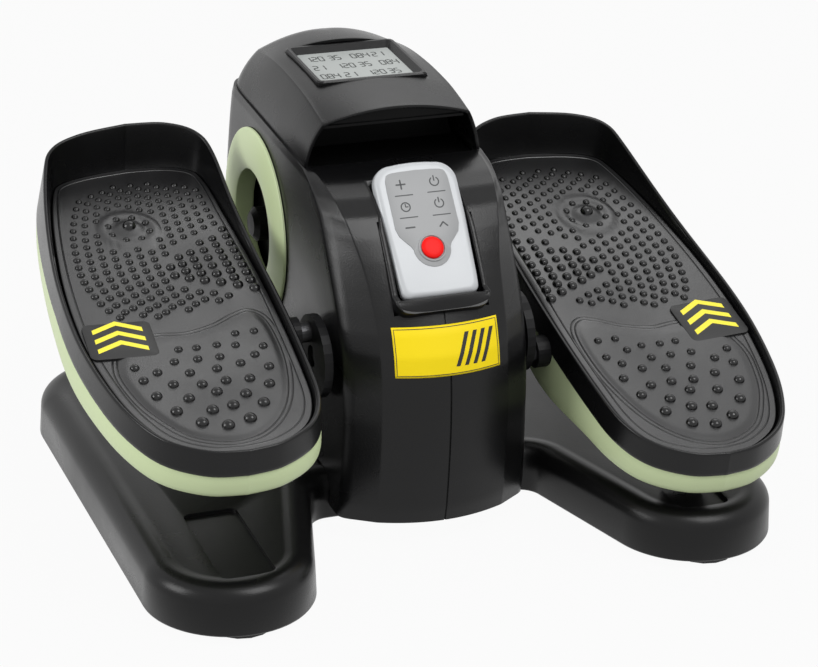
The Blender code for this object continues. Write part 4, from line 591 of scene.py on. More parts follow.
def remote_loop(height, inset):
    """The remote's outline at a height: a tapered body, a shallow round foot and rounded upper corners.

    The half width is f + (h - f) min(s / 60 mm, 1) at a distance s from the foot, less the inset.
    """
    end, start = REMOTE_LENGTH - inset, inset
    low_turn, high_turn = np.linspace(0, math.pi / 2, 9), np.linspace(0, math.pi / 2, 11)[1:]
    s = np.linspace(start + FOOT_CORNER, end - TOP_CORNER, 16)[1:]
    side_x = REMOTE_FOOT + (REMOTE_HALF - REMOTE_FOOT) * np.minimum(s / 0.06, 1.0) - inset
    right = np.vstack([together(REMOTE_FOOT - inset - FOOT_CORNER + FOOT_CORNER * np.sin(low_turn),
                                start + FOOT_CORNER - FOOT_CORNER * np.cos(low_turn)),
                       together(side_x, s),
                       together(side_x[-1] - TOP_CORNER + TOP_CORNER * np.cos(high_turn),
                                end - TOP_CORNER + TOP_CORNER * np.sin(high_turn)),
                       (0.010, end + 0.0008)])
    loop = np.vstack([(0.0, start - 0.0006), right, (0.0, end + 0.0012), right[::-1] * (-1, 1)])
    return together(loop[:, 0], loop[:, 1], height)


def circle_bars(cx, cy, radius, width, start=0.0, end=math.tau, count=16):
    """A circle or an arc as short bars."""
    rim = arc((cx, cy), radius, start, end, count)
    return [(a, b, width) for a, b in zip(rim, rim[1:])]


SILVER = finish("silver_gloss", (0.50, 0.515, 0.53), 0.34, 0.08, 1600.0, metallic=0.05, shine=0.22)
FILM = finish("key_film_grey", (0.31, 0.315, 0.32), 0.42, 0.1, shine=0.28)
RED = finish("button_red", (0.86, 0.010, 0.008), 0.42, 0.05, 1500.0, shine=0.12)
GREY_INK = finish("print_grey", (0.045, 0.047, 0.050), 0.55, 0.05)
wear(BLACK, "remote_back")
wear(SILVER, "remote_face")
wear(FILM, "key_film")
wear(RED, "red_button")
swing = np.linspace(0.15, math.pi / 2, 9)
levels = np.vstack([[(SHELL_PARTING, 0.0012), (SHELL_PARTING + 0.0004, 0.0003), (SHELL_PARTING + 0.0014, 0.0),
                     (SHOULDER_FROM, 0.0002)],
                    together(SHOULDER_FROM * (1 - np.sin(swing)), 0.0002 + 0.0042 * (1 - np.cos(swing)))])
rows = np.stack([remote_loop(height, inset) for height, inset in levels])
rows = np.concatenate([rows[:1] * (0, 1, 1), rows, rows[-1:] * (0, 1, 1)])
face = skin("remote_shell", placed(rows, cradle_matrix), SILVER, "remote", sharp=40.0)
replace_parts(face, "remote_face")
film_keys = [(0.0243, 0.053), (0.0242, 0.068), (0.0241, 0.084), (0.0232, 0.0915), (0.0190, 0.0955), (0.0, 0.0965)]
film_side = through(film_keys, np.linspace(0, 5, 26))
film_waist = np.array([(0.0156, 0.0390), (0.0188, 0.0425), (0.0225, 0.0470)])
bowl = arc((0.0, BUTTON_ALONG), 0.0140, math.pi, math.tau, 24)
outline = np.vstack([(film_side[::-1] * (-1, 1))[1:], film_waist[::-1] * (-1, 1), bowl, film_waist, film_side])
film_centre = np.array((0.0, BUTTON_ALONG + 0.022))
rows = []
for share, height in ((1.012, -0.0003), (1.008, 0.00035), (0.99, 0.00055), (0.5, 0.00055), (0.0, 0.00055)):
    drawn = film_centre + (outline - film_centre) * share
    rows.append(together(drawn[:, 0], drawn[:, 1], height))
film = skin("remote_film", placed(rows, cradle_matrix), FILM, "remote", sharp=30.0)
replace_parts(film, "key_film")
button_turns = np.linspace(0, math.tau, 65)[:-1]
button_matrix = cradle_matrix @ Matrix.Translation((0, BUTTON_ALONG, 0))
collar_profile = [(0.0106, 0.0004), (0.0106, 0.0011), (0.0102, 0.0015), (0.0094, 0.0015), (0.0090, 0.0010),
                  (0.0090, 0.0)]
skin("button_collar", placed(turned(collar_profile, button_turns), button_matrix), FILM, "remote")
cap_profile = [(0.0084, -0.0030), (0.0084, 0.0014), (0.0081, 0.0021), (0.0074, 0.0026), (0.0055, 0.0029),
               (0.0030, 0.00305), (0.0, 0.0031)]
button = skin("button_cap", placed(turned(cap_profile, button_turns), button_matrix), RED, "button")
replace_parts(button, "red_button")
bars = []
for cy in (0.0865, 0.0695):
    bars += circle_bars(SYMBOL_COLUMN, cy, 0.0034, 0.0009, math.radians(125), math.radians(415), 12)
    bars.append(((SYMBOL_COLUMN, cy + 0.0006), (SYMBOL_COLUMN, cy + 0.0044), 0.0010))
bars += circle_bars(-SYMBOL_COLUMN, 0.0690, 0.0034, 0.0009)
bars += [((-SYMBOL_COLUMN, 0.0690), (-SYMBOL_COLUMN, 0.0714), 0.0008),
         ((-SYMBOL_COLUMN, 0.0690), (-0.0110, 0.0690), 0.0008),
         ((-0.0165, 0.0865), (-0.0095, 0.0865), BAR), ((-SYMBOL_COLUMN, 0.0830), (-SYMBOL_COLUMN, 0.0900), BAR),
         ((-0.0165, 0.0530), (-0.0095, 0.0530), BAR),
         ((0.0095, 0.0515), (0.0125, 0.0548), 0.0011), ((0.0125, 0.0548), (0.0155, 0.0515), 0.0011)]
bars += [((x, y), (x + 0.0135, y), 0.0008) for x, y in ((-0.0190, 0.0780), (-0.0190, 0.0608), (0.0062, 0.0785),
                                                        (0.0062, 0.0605))]
strokes("remote_symbols", bars, GREY_INK, "remote", cradle_matrix @ Matrix.Translation((0, 0, 0.00057)),
        0.00008)

# ---- Front plate: a yellow printed film stuck on the housing's crowned front, with a thin black border and plain
# diagonal stripes. It bends with the face under it.

PLATE_LOW, PLATE_HIGH, PLATE_HALF = 0.136, 0.1705, 0.0405
PLATE_PROUD, PLATE_THICK, PRINT_PROUD = GAP + 0.0009, 0.0008, GAP + 0.00102
BORDER_INSET, BORDER_WIDTH = 0.0014, 0.0005

YELLOW = finish("plate_yellow", (0.97, 0.74, 0.006), 0.45, 0.06, shine=0.25)
INK = finish("print_black", (0.010, 0.010, 0.010), 0.55, 0.05)
wear(YELLOW, "info_plate")
rows = front_point(np.linspace(-PLATE_HALF, PLATE_HALF, 41), np.linspace(PLATE_LOW, PLATE_HIGH, 19)[:, None],
                   PLATE_PROUD)
plate = skin("front_plate", rows, YELLOW, "frame", around=False, sharp=80.0)
wall = plate.modifiers.new("wall", "SOLIDIFY")
wall.thickness = PLATE_THICK
wall.offset = 1 if mean_normal(plate.data)[1] > 0 else -1
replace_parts(plate, "info_plate")
near_x, low_z, high_z = PLATE_HALF - BORDER_INSET, PLATE_LOW + BORDER_INSET, PLATE_HIGH - BORDER_INSET
path = np.vstack([together(np.linspace(-near_x, near_x, 30), low_z),
                  together(near_x, np.linspace(low_z, high_z, 12)[1:]),
                  together(np.linspace(near_x, -near_x, 30)[1:], high_z),
                  together(-near_x, np.linspace(high_z, low_z, 12)[1:-1])])
run = np.roll(path, -1, axis=0) - np.roll(path, 1, axis=0)
aside = run[:, ::-1] * (1, -1) / np.linalg.norm(run, axis=1)[:, None]
ribbon = path + aside * np.array((-BORDER_WIDTH / 2, BORDER_WIDTH / 2))[:, None, None]
skin("plate_border", front_point(ribbon[..., 0], ribbon[..., 1], PRINT_PROUD), INK, "frame", sharp=80.0)
t = np.linspace(0, 1, 9)[:, None]
for number in range(4):
    x = 0.0100 + 0.0068 * number - 0.0045 + 0.0090 * t + np.linspace(-0.0016, 0.0016, 3)
    rows = front_point(x, PLATE_LOW + 0.0060 + (PLATE_HIGH - PLATE_LOW - 0.0120) * t, PRINT_PROUD)
    skin(f"plate_stripe_{number}", rows, INK, "frame", around=False, sharp=80.0)

# ---- Mains inlet and switch: a black inlet socket and a red rocker in a black frame, snapped into the rear of the
# housing. Both keep their CAD shapes, with soft edges.

wear(DARK, "power_inlet", "switch_frame")
wear(RED, "power_switch")
for name in ("power_inlet", "switch_frame", "power_switch"):
    soften(nodes[name])

# ---- Chassis and drive: a folded steel frame bolted to the base, coated black, carries the motor, the belts, the
# pulleys and the turned axles on their bearings. They are hidden by the housing and keep their CAD shapes.

STEEL = finish("turned_steel", (0.06, 0.06, 0.063), 0.36, 0.25, 500.0, metallic=0.9, drift=0.05,
               stretch=(1.0, 9.0, 9.0))
DARK_STEEL = finish("coated_steel", (0.0050, 0.0050, 0.0055), 0.45, 0.3, 900.0, shine=0.15)
BELT = finish("belt_rubber", (0.012, 0.012, 0.012), 0.65, 0.5, 700.0, drift=0.05, stretch=(0.2, 1.0, 1.0))
wear(DARK_STEEL, "frame_plate", "left_side_plate", "right_side_plate", "motor_bracket")
wear(STEEL, "motor", "motor_rotor", "small_pulley", "wheel_axle", "left_wheel_bearing", "right_wheel_bearing",
     "crank_axle", "left_crank_bearing", "right_crank_bearing")
wear(BLACK, "drive_wheel", "crank_pulley")
wear(BELT, "motor_belt", "crank_belt")
wear(BOARD, "control_board")

# ---- Pedals: each is a black sole-shaped plastic tray with a tall toe wall, screwed to a pale green lower shell,
# with a moulded rubber massage mat glued in: a heel pad, a domed ring and rows of nubs. A black patch with plain
# yellow chevrons is stuck on the outer side of the arch.

PEDAL_X, PIVOT_V, PIVOT_W = 0.184, -0.0486, -0.0202
TILT = {-1: math.radians(11.0), 1: math.radians(16.5)}
CRANK_RADIUS, CRANK_PHASE = 0.0179, math.radians(67.2)
HEEL_V, SOLE_LENGTH, STATIONS = -0.2085, 0.3805, 110
TOE_V = 0.168
BAND_W, FLOOR_W, RIM_RADIUS = -0.0155, -0.0045, 0.0015
OUTER = [(-0.006, -0.2085), (0.020, -0.2040), (0.045, -0.1870), (0.0600, -0.1600), (0.0700, -0.1200),
         (0.0755, -0.0600), (0.0725, 0.0100), (0.0635, 0.0800), (0.0520, 0.1350), (0.0415, 0.1565),
         (0.0170, 0.1670), (-0.020, 0.1720)]
INNER = [(-0.006, -0.2085), (-0.032, -0.2040), (-0.058, -0.1870), (-0.072, -0.1600), (-0.0775, -0.1200),
         (-0.0815, -0.0550), (-0.0835, 0.0200), (-0.0835, 0.0850), (-0.0825, 0.1380), (-0.0740, 0.1595),
         (-0.0510, 0.1700), (-0.020, 0.1720)]
HEEL_PAD = [(0.0170, -0.0630), (-0.0050, -0.0650), (-0.0270, -0.0590), (-0.0450, -0.0495), (-0.0570, -0.0475),
            (-0.0625, -0.0640), (-0.0600, -0.1070), (-0.0480, -0.1500), (-0.0290, -0.1770), (-0.0040, -0.1880),
            (0.0240, -0.1770), (0.0410, -0.1510), (0.0495, -0.1250), (0.0520, -0.0950), (0.0400, -0.0680)]
HEEL_NUBS_MM = [(15, -167), (-1.5, -173.5), (-18.5, -169), (28.5, -151), (4, -154.5), (-11.5, -152), (-33, -153.5),
                (37, -131), (16, -138), (-5, -134.5), (-24, -141), (-43.5, -133), (41, -111.5), (22, -120),
                (2.5, -124), (-15, -123), (-32, -124), (-49.5, -113), (29, -104), (7, -109), (-13, -108),
                (-31, -105), (43, -95.5), (14, -94), (-3, -94), (-19, -94.5), (-44, -97), (-53, -88), (-6, -80.5),
                (-21, -80), (-34, -83), (7, -80), (-38, -69), (-52, -69)]
WEDGE_COLUMNS = (-0.0690, -0.0580, -0.0470, -0.0365, -0.0265, -0.0170)
FOREFOOT_V = [-0.035, -0.020, 0.0, 0.02, 0.05, 0.078, 0.104, 0.125, 0.136, 0.15]
FOREFOOT_U = [0.034, 0.0425, 0.0475, 0.0500, 0.0475, 0.043, 0.0355, 0.027, 0.020, 0.010]
FOREFOOT_COLUMNS, FOREFOOT_ROWS, WEDGE_U = 13, 19, -0.0690
DOME_U, DOME_V, PATCH_U, PATCH_V = -0.0004, 0.0806, 0.0440, -0.0605
NUB_SUNK = 0.0010
NUB_PROFILE = np.array([(1.10, 0.0), (1.0, 0.12), (0.95, 0.38), (0.80, 0.66), (0.55, 0.86), (0.28, 0.95),
                        (0.001, 0.98)])
NUB_TURNS = np.linspace(0, math.tau, 15)[:-1]
EDGE_GROOVE, PAD_GROOVES, GROOVE_WIDTH = 0.0112, (0.0030, 0.0062), 0.0008
PATCH_TURN, PATCH_HALF_U, PATCH_HALF_V, PATCH_CORNER = math.radians(4.0), 0.0245, 0.0215, 0.005


def glide(keys, samples):
    """The Catmull-Rom curve through keys, by their index, with the end keys doubled.

    Between a and b, with p before and q after: (2a + (b - p) f + (2p - 5a + 4b - q) f^2 + (3a - p - 3b + q) f^3) / 2.
    """
    keys = np.asarray(keys, float)
    span = np.minimum(samples.astype(int), len(keys) - 2)
    f = (samples - span).reshape(-1, *[1] * (keys.ndim - 1))
    p, a, b, q = (keys[np.clip(span + step, 0, len(keys) - 1)] for step in (-1, 0, 1, 2))
    return 0.5 * (2 * a + (b - p) * f + (2 * p - 5 * a + 4 * b - q) * f * f + (3 * a - p - 3 * b + q) * f ** 3)


def sole():
    """The plan, from the heel up the outer side to the toe and back down the inner side.

    Stations are close together at heel and toe: v = heel + length (1 - cos(pi i / n)) / 2.
    """
    v = HEEL_V + SOLE_LENGTH * (1 - np.cos(math.pi * np.arange(STATIONS + 1) / STATIONS)) / 2
    sides = []
    for keys in (OUTER, INNER):
        dense = glide(keys, np.arange(32 * (len(keys) - 1) + 1) / 32)
        sides.append(together(np.interp(v, dense[:, 1], dense[:, 0]), v))
    return np.vstack([sides[0], sides[1][-2:0:-1]])


def rim_w(v):
    """The rim's height over the mat: w = 4.5 mm + 31.5 mm (v / 168 mm)^2.2 in front of the arch."""
    return 0.0045 + 0.0315 * np.maximum(v / TOE_V, 0.0) ** 2.2


def flare(v):
    """How far the wall leans out below the rim: 2 mm + 3.5 mm v / 168 mm in front of the arch."""
    return 0.0020 + 0.0035 * np.maximum(v / TOE_V, 0.0)


def belly(u, v):
    """The lower shell's depth under the band: 18.5 mm, and a swell exp(-((v + 45) / 75)^2) deeper on the inner side."""
    swell = np.exp(-((v + 0.045) / 0.075) ** 2)
    return 0.0185 + swell * (0.006 + 0.018 * np.clip((0.02 - u) / 0.09, 0.0, 1.0))


def pedal_points(side, u, v, w):
    """Points (u, v, w) of a pedal, turned by its tilt t about the crank pin and set on it.

    y = pin_y + a cos t - b sin t and z = pin_z + a sin t + b cos t, with a and b measured from the pin.
    """
    lift = 1 if side < 0 else -1
    a, b, t = v - PIVOT_V, w - PIVOT_W, TILT[side]
    y = CRANK_Y + lift * CRANK_RADIUS * math.cos(CRANK_PHASE) + a * math.cos(t) - b * math.sin(t)
    z = CRANK_Z + lift * CRANK_RADIUS * math.sin(CRANK_PHASE) + a * math.sin(t) + b * math.cos(t)
    return together(side * (PEDAL_X + u), y, z)


def pedal_row(side, offset, w):
    """The plan moved out by an offset, at a height."""
    plan = PLAN + OUT * np.reshape(offset, (-1, 1))
    return pedal_points(side, plan[:, 0], plan[:, 1], w)


def away(points, line):
    """Signed distance of points from a closed line, below zero inside it."""
    ends = np.roll(line, -1, axis=0)
    span = ends - line
    gap = points[:, None, :] - line[None]
    t = np.clip((gap * span).sum(-1) / (span ** 2).sum(-1), 0, 1)
    near = np.linalg.norm(gap - t[..., None] * span[None], axis=-1).min(1)
    y0, y1 = line[:, 1][None], ends[:, 1][None]
    crosses = (y0 > points[:, 1:]) != (y1 > points[:, 1:])
    at = line[:, 0][None] + (points[:, 1:] - y0) / np.where(y1 == y0, 1e-9, y1 - y0) * span[:, 0][None]
    inside = (crosses & (points[:, :1] < at)).sum(1) % 2 == 1
    return np.where(inside, -near, near)


def ground(u, v):
    """The mat's own relief: a dished dome ring, a raised arch patch and a heel pad proud of the ground.

    3.2 mm (1 - (r / 24.5)^2)^0.6 - 2.4 mm exp(-((r - 13.5) / 4.2)^2) for the dome, a bell of 2.4 mm on the arch, and
    1.2 mm / (1 + exp(d / 0.9)) at a distance d from the pad's line.
    """
    r = np.hypot(u - DOME_U, v - DOME_V)
    relief = 0.0032 * np.clip(1 - (r / 0.0245) ** 2, 0, 1) ** 0.6
    relief -= 0.0024 * np.exp(-((r - 0.0135) / 0.0042) ** 2)
    relief += 0.0024 * np.exp(-((u + 0.058) / 0.024) ** 2 - ((v - 0.006) / 0.042) ** 2)
    pad_away = away(np.column_stack([u, v]), PAD_LINE)
    return relief + 0.0012 / (1 + np.exp(np.clip(pad_away / 0.0009, -30, 30)))


def nub_places():
    """(u, v, radius) of every nub.

    Heel: the loose rows of HEEL_NUBS_MM, growing to the heel. Arch: a wedge of larger nubs in columns. Forefoot:
    curved columns that follow the outer side, small nubs in a staggered pattern. Dome: a centre nub and a ring of
    eight. None stands under the patch.
    """
    heel = np.array(HEEL_NUBS_MM) / 1000
    heel = together(heel[:, 0], heel[:, 1], 0.0033 + 0.0015 * np.clip((-0.080 - heel[:, 1]) / 0.085, 0.0, 1.0))
    arch = []
    for i, u in enumerate(WEDGE_COLUMNS):
        high, low = 0.067 - 0.0077 * i, -0.0160 + 0.0058 * i
        count = max(round((high - low) / 0.0104), 1)
        v = np.linspace(high - (i % 2) * 0.004, low, count + 1)
        arch.append(together(u, v, 0.0034 + 0.0009 * np.clip((0.05 - v) / 0.07, 0.0, 1.0)))
    column, row = np.indices((FOREFOOT_COLUMNS, FOREFOOT_ROWS))
    v = 0.1450 - 0.0098 * row - 0.004 * (column % 2)
    outer_u = cubic(v, FOREFOOT_V, FOREFOOT_U)
    u = outer_u + (-0.0655 - outer_u) * column / (FOREFOOT_COLUMNS - 1)
    beyond = (v > 0.1455 - 0.00004 * np.abs(u * 1000 + 20) ** 1.6) | (v < -0.036 + 0.20 * np.maximum(-u, 0))
    on_dome = np.hypot(u - DOME_U, v - DOME_V) < 0.0258
    in_wedge = (u < -0.0110) & (v < 0.076 - 0.70 * (u - WEDGE_U)) & (v > -0.028 + 0.55 * (u - WEDGE_U) - 0.004)
    forefoot = together(u, v, 0.0028 + 0.0005 * np.clip((0.09 - v) / 0.08, 0.0, 1.0))[~(beyond | on_dome | in_wedge)]
    a = math.tau * (np.arange(8) + 0.5) / 8
    dome = np.vstack([(DOME_U, DOME_V, 0.0052),
                      together(DOME_U + 0.0158 * np.cos(a), DOME_V + 0.0158 * np.sin(a), 0.0030)])
    places = np.vstack([heel, *arch, forefoot, dome])
    return places[(places[:, 0] < PATCH_U - 0.0275) | (np.abs(places[:, 1] - PATCH_V) > 0.0265)]


def on_patch(x, y):
    """Where a point of the patch lies on the pedal: turned by a few degrees about its centre."""
    return (PATCH_U + x * math.cos(PATCH_TURN) - y * math.sin(PATCH_TURN),
            PATCH_V + x * math.sin(PATCH_TURN) + y * math.cos(PATCH_TURN))


def joined(tree, kind, first, second):
    """A Math node's output for two values, each a socket or a number."""
    step = tree.nodes.new("ShaderNodeMath")
    step.operation = kind
    for socket, value in zip(step.inputs, (first, second)):
        if isinstance(value, float):
            socket.default_value = value
        else:
            tree.links.new(value, socket)
    return step


def ridge_at(tree, source, at):
    """Nodes for a ridge of height 1 where a value is at a mark: 1 - |value - mark| / width, never below 0."""
    apart = joined(tree, "SUBTRACT", source, at).outputs[0]
    share = joined(tree, "DIVIDE", joined(tree, "ABSOLUTE", apart, 0.0).outputs[0], GROOVE_WIDTH).outputs[0]
    ridge = joined(tree, "SUBTRACT", 1.0, share)
    ridge.use_clamp = True
    return ridge.outputs[0]


# The mat's rubber: its fine printed ridges follow the distances from the edge and from the heel pad
MAT = finish("mat_ground", (0.0080, 0.0080, 0.0085), 0.34, 0.6, 1100.0, drift=0.10, shine=0.68)
tree = MAT.node_tree
from_edge, from_pad = tree.nodes.new("ShaderNodeAttribute"), tree.nodes.new("ShaderNodeAttribute")
from_edge.attribute_name, from_pad.attribute_name = "edge", "pad"
ridges = ridge_at(tree, from_edge.outputs["Fac"], EDGE_GROOVE)
for at in PAD_GROOVES:
    ridges = joined(tree, "ADD", ridges, ridge_at(tree, from_pad.outputs["Fac"], at)).outputs[0]
lines = tree.nodes.new("ShaderNodeBump")
lines.inputs["Strength"].default_value = 0.9
lines.inputs["Distance"].default_value = 0.0007
tree.links.new(ridges, lines.inputs["Height"])
tree.links.new(tree.nodes["grain"].outputs["Normal"], lines.inputs["Normal"])
tree.links.new(lines.outputs["Normal"], tree.nodes["Principled BSDF"].inputs["Normal"])
YELLOW_INK = finish("print_yellow", (0.88, 0.76, 0.030), 0.45, 0.05)

PLAN = sole()
run = np.roll(PLAN, -1, axis=0) - np.roll(PLAN, 1, axis=0)
OUT = run[:, ::-1] * (1, -1) / np.linalg.norm(run, axis=1)[:, None]
OPPOSITE = (-np.arange(len(PLAN))) % len(PLAN)
MIDDLE = (PLAN + PLAN[OPPOSITE]) / 2
pad_count = len(HEEL_PAD)
PAD_LINE = through(HEEL_PAD[-3:] + HEEL_PAD + HEEL_PAD[:3], np.linspace(3, pad_count + 3, 161)[:-1])
v = PLAN[:, 1]
lean, rim = flare(v), rim_w(v)
depth = belly(PLAN[:, 0], v)
shell_top = BAND_W - GAP
tray_profile = [(-0.0110 - 0.5 * lean, FLOOR_W), (-0.0048 - 0.5 * lean, FLOOR_W),
                (-0.0042 - 0.5 * lean, FLOOR_W + 0.0008)]
tray_profile += [(-0.0030 - (0.0012 + 0.5 * lean) * (1 - t), FLOOR_W + (rim - FLOOR_W) * t) for t in (0.3, 0.6, 0.85)]
tray_profile += [(-0.0013 + RIM_RADIUS * math.cos(a), rim - RIM_RADIUS + RIM_RADIUS * math.sin(a))
                 for a in np.linspace(math.pi, 0.0, 9)]
tray_profile += [(0.0002 + (lean - 0.0002) * t, rim - RIM_RADIUS + (BAND_W + 0.0008 - rim + RIM_RADIUS) * t)
                 for t in (0.12, 0.3, 0.5, 0.7, 0.88, 1.0)]
tray_profile += [(lean - 0.0006, BAND_W), (lean - 0.0030, BAND_W)]
shell_profile = [(lean - 0.0030, shell_top), (lean - 0.0009, shell_top), (lean - 0.0007, shell_top - 0.0006),
                 (lean * 0.8 + 0.0008, shell_top - 0.38 * depth), (lean * 0.6 + 0.0012, shell_top - 0.76 * depth),
                 (lean * 0.3 - 0.0010, shell_top - 0.91 * depth), (-0.0075, shell_top - depth),
                 (-0.0160, shell_top - depth - 0.0012), (-0.030, shell_top - depth - 0.0020)]
mat_edge = PLAN - OUT * (0.0045 + 0.5 * lean + GAP)[:, None]
mat_shares = np.concatenate([[0.0, 0.0, 0.006, 0.02], np.linspace(0.04, 1.0, 74)])
places = nub_places()
for side, label in SIDES:
    body = f"{label}_pedal"
    # Tray: inner wall, round rim, leaning outer wall and the band's lower edge
    wear(BLACK, f"{label}_pedal_tray")
    tray = skin(f"{label}_tray", [pedal_row(side, offset, w) for offset, w in tray_profile], BLACK, body,
                sharp=60.0)
    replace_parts(tray, f"{label}_pedal_tray")
    # Mat ground, ring by ring from its edge to the centre line, with its distances kept for the ridges
    wear(RUBBER, f"{label}_massage_mat")
    rows, edges, pads = [], [], []
    for number, share in enumerate(mat_shares):
        plan = mat_edge + (MIDDLE - mat_edge) * share
        w = FLOOR_W + GAP
        if number:
            w = ground(plan[:, 0], plan[:, 1]) * min(share / 0.04, 1.0) - (0.0 if share > 0 else 0.0006)
        rows.append(pedal_points(side, plan[:, 0], plan[:, 1], w))
        edges.append(-away(plan, PLAN))
        pads.append(away(plan, PAD_LINE))
    quads = grid_faces(np.arange(len(rows) * len(PLAN)).reshape(len(rows), -1))
    mesh = bpy.data.meshes.new(f"{label}_mat")
    mesh.from_pydata(np.concatenate(rows).tolist(), [], (quads if side > 0 else quads[:, ::-1]).tolist())
    for name, values in (("edge", edges), ("pad", pads)):
        mesh.attributes.new(name, "FLOAT", "POINT").data.foreach_set("value", np.concatenate(values))
    mesh.shade_smooth()
    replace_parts(add_piece(f"{label}_mat", mesh, MAT, body), f"{label}_massage_mat")
    # Nubs: low domes of the same rubber, each a small turned profile
    centre_u, centre_v, radius = places.T[:, :, None, None]
    scale, rise = NUB_PROFILE.T[:, None, :, None]
    stand = ground(places[:, 0], places[:, 1])[:, None, None] - NUB_SUNK
    points = pedal_points(side, centre_u + radius * scale * np.cos(NUB_TURNS),
                          centre_v + radius * scale * np.sin(NUB_TURNS), stand + radius * rise)
    quads = grid_faces(np.arange(points.size // 3).reshape(points.shape[:3]))
    mesh = bpy.data.meshes.new(f"{label}_nubs")
    mesh.from_pydata(points.reshape(-1, 3).tolist(), [], (quads if side > 0 else quads[:, ::-1]).tolist())
    mesh.shade_smooth()
    add_piece(f"{label}_nubs", mesh, RUBBER, body)
    # Lower shell, closed by rows drawn in to the centre line
    wear(GREEN, f"{label}_pedal_shell")
    stack = [pedal_row(side, offset, w) for offset, w in shell_profile]
    rows = stack[:3] + list(glide(stack[2:], np.linspace(0, len(stack) - 3, 26)[1:]))
    plan, floor_w = PLAN - OUT * 0.030, shell_top - depth - 0.0020
    for share in (0.4, 0.75, 1.0):
        drawn = plan + ((plan + plan[OPPOSITE]) / 2 - plan) * share
        level = floor_w + ((floor_w + floor_w[OPPOSITE]) / 2 - floor_w) * share
        rows.append(pedal_points(side, drawn[:, 0], drawn[:, 1], level))
    shell = skin(f"{label}_lower_shell", rows, GREEN, body, sharp=50.0)
    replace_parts(shell, f"{label}_pedal_shell")
    # Patch with round corners, and its three chevrons
    a = (np.arange(4)[:, None] * math.pi / 2 + np.linspace(0, math.pi / 2, 7)).ravel()
    across, along = np.repeat((1, -1, -1, 1), 7), np.repeat((1, 1, -1, -1), 7)
    rows = []
    for grow, w in ((0.0, 0.0002), (0.0, 0.0012), (-0.0004, 0.0015), (-0.020, 0.0015)):
        corner = PATCH_CORNER + 0.2 * grow
        rows.append(pedal_points(side, *on_patch(
            across * (PATCH_HALF_U - PATCH_CORNER + 0.8 * grow) + corner * np.cos(a),
            along * (PATCH_HALF_V - PATCH_CORNER + 0.8 * grow) + corner * np.sin(a)), w))
    skin(f"{label}_patch", rows, INK, body, caps=True, sharp=50.0)
    t = np.linspace(-1, 1, 9)[:, None]
    for number in range(3):
        y = -0.0150 + 0.0118 * number + 0.0095 * (1 - abs(t)) + np.array((0.0, 0.0052))
        rows = pedal_points(side, *on_patch(0.0180 * t, y), 0.00158)
        skin(f"{label}_chevron_{number}", rows, YELLOW_INK, body, around=False)

# ---- Cranks, pivot tubes, roller forks and heel rollers: black coated steel discs and tubes on turned pins carry
# the pedals, and a dark nylon roller in a fork under each heel runs in the base's track. All keep their CAD shapes.

NYLON = finish("roller_nylon", (0.030, 0.030, 0.032), 0.45, 0.15)
for side, label in SIDES:
    wear(STEEL, f"{label}_crank_pin")
    wear(DARK_STEEL, f"{label}_crank_disc", f"{label}_pivot_tube", f"{label}_roller_fork")
    wear(NYLON, f"{label}_heel_roller")
    for part in ("crank_disc", "pivot_tube", "roller_fork", "heel_roller"):
        soften(nodes[f"{label}_{part}"])

# ---- Floor and surround: a pale sheet under the object, which keeps its shadow, and a white room around it. The
# camera, glossy and transmission rays see both white.

FLOOR_GREY, SEEN_WHITE, AMBIENT = 0.26, 0.95, 0.64


def background_share(tree):
    """1 for camera, glossy and transmission rays, and 0 for the rest: the greatest of Light Path's three."""
    path = tree.nodes.new("ShaderNodeLightPath")
    share = joined(tree, "MAXIMUM", path.outputs["Is Camera Ray"], path.outputs["Is Glossy Ray"]).outputs[0]
    return joined(tree, "MAXIMUM", share, path.outputs["Is Transmission Ray"]).outputs[0]


bpy.ops.mesh.primitive_plane_add(size=12.0, location=(0, 0, 0))
floor = bpy.context.object
floor.name = "floor"
paint = bpy.data.materials.new("floor_white")
paint.use_nodes = True
tree = paint.node_tree
shader = tree.nodes["Principled BSDF"]
shader.inputs["Base Color"].default_value = (FLOOR_GREY, FLOOR_GREY, FLOOR_GREY, 1.0)
shader.inputs["Roughness"].default_value = 0.7
shader.inputs["Specular IOR Level"].default_value = 0.0
glow = tree.nodes.new("ShaderNodeEmission")
glow.inputs["Strength"].default_value = 1.0
mix = tree.nodes.new("ShaderNodeMixShader")
tree.links.new(joined(tree, "MULTIPLY", background_share(tree), SEEN_WHITE).outputs[0], mix.inputs["Fac"])
tree.links.new(shader.outputs[0], mix.inputs[1])
tree.links.new(glow.outputs[0], mix.inputs[2])
tree.links.new(mix.outputs[0], tree.nodes["Material Output"].inputs["Surface"])
floor.data.materials.append(paint)

world = bpy.data.worlds.new("surround")
bpy.context.scene.world = world
world.use_nodes = True
tree = world.node_tree
backdrop, ambient = tree.nodes["Background"], tree.nodes.new("ShaderNodeBackground")
for light, strength in ((backdrop, 1.0), (ambient, AMBIENT)):
    light.inputs["Color"].default_value = (1.0, 1.0, 1.0, 1.0)
    light.inputs["Strength"].default_value = strength
mix = tree.nodes.new("ShaderNodeMixShader")
tree.links.new(background_share(tree), mix.inputs["Fac"])
tree.links.new(ambient.outputs[0], mix.inputs[1])
tree.links.new(backdrop.outputs[0], mix.inputs[2])
tree.links.new(mix.outputs[0], tree.nodes["World Output"].inputs["Surface"])

# ---- Lamps: three soft boxes, one high at the front, one high at the back and one low at the left, as in a
# small studio


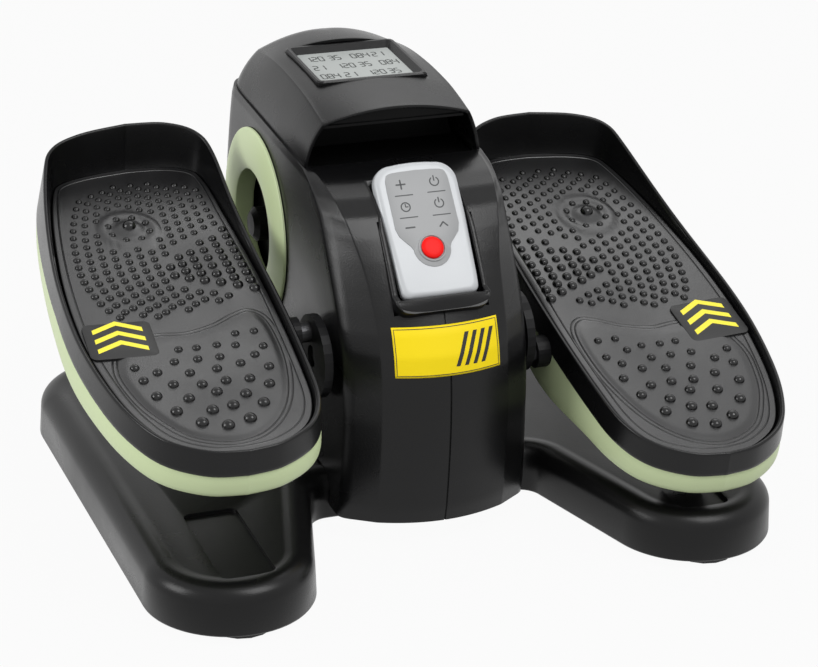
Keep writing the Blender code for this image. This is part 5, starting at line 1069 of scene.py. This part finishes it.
def soft_box(name, place, target, size, power):
    """A square area light that faces a point."""
    data = bpy.data.lights.new(name, "AREA")
    data.size = size
    data.energy = power
    lamp = bpy.data.objects.new(name, data)
    bpy.context.scene.collection.objects.link(lamp)
    lamp.location = place
    lamp.rotation_euler = (Vector(target) - Vector(place)).to_track_quat("-Z", "Y").to_euler()


soft_box("key_box", (0.50, -0.92, 1.65), (0, 0, 0.15), 0.9, 16.0)
soft_box("back_box", (0.62, 0.95, 1.55), (0, 0, 0.1), 0.9, 4.0)
soft_box("left_box", (-1.7, -0.1, 0.9), (0, 0, 0.15), 0.8, 13.0)

# ---- Camera: the photograph's own view, fitted to it: from the front and to the left, a little above, with a long
# lens and a slight roll

AZIMUTH, ELEVATION, ROLL = math.radians(-21.14), math.radians(23.93), math.radians(1.726)
TARGET, DISTANCE = Vector((-0.00925, -0.05508, 0.13534)), 2.02502
IMAGE_WIDTH, FOCAL_PIXELS, SHIFT_X_PIXELS, SHIFT_Y_PIXELS, SENSOR_WIDTH = 818.0, 2736.67, 6.355, 3.165, 36.0

back = Vector((math.sin(AZIMUTH) * math.cos(ELEVATION), -math.cos(AZIMUTH) * math.cos(ELEVATION),
               math.sin(ELEVATION)))
level = Vector((math.cos(AZIMUTH), math.sin(AZIMUTH), 0.0))
upright = back.cross(level)
right = level * math.cos(ROLL) + upright * math.sin(ROLL)
top = upright * math.cos(ROLL) - level * math.sin(ROLL)
eye = TARGET + back * DISTANCE
lens = bpy.data.cameras.new("camera")
lens.sensor_width = SENSOR_WIDTH
lens.lens = FOCAL_PIXELS / IMAGE_WIDTH * SENSOR_WIDTH
lens.shift_x = SHIFT_X_PIXELS / IMAGE_WIDTH
lens.shift_y = SHIFT_Y_PIXELS / IMAGE_WIDTH
camera = bpy.data.objects.new("camera", lens)
bpy.context.scene.collection.objects.link(camera)
camera.matrix_world = Matrix((
    (right.x, top.x, back.x, eye.x), (right.y, top.y, back.y, eye.y), (right.z, top.z, back.z, eye.z),
    (0.0, 0.0, 0.0, 1.0)))
bpy.context.scene.camera = camera
bpy.context.scene.view_settings.view_transform = "Standard"
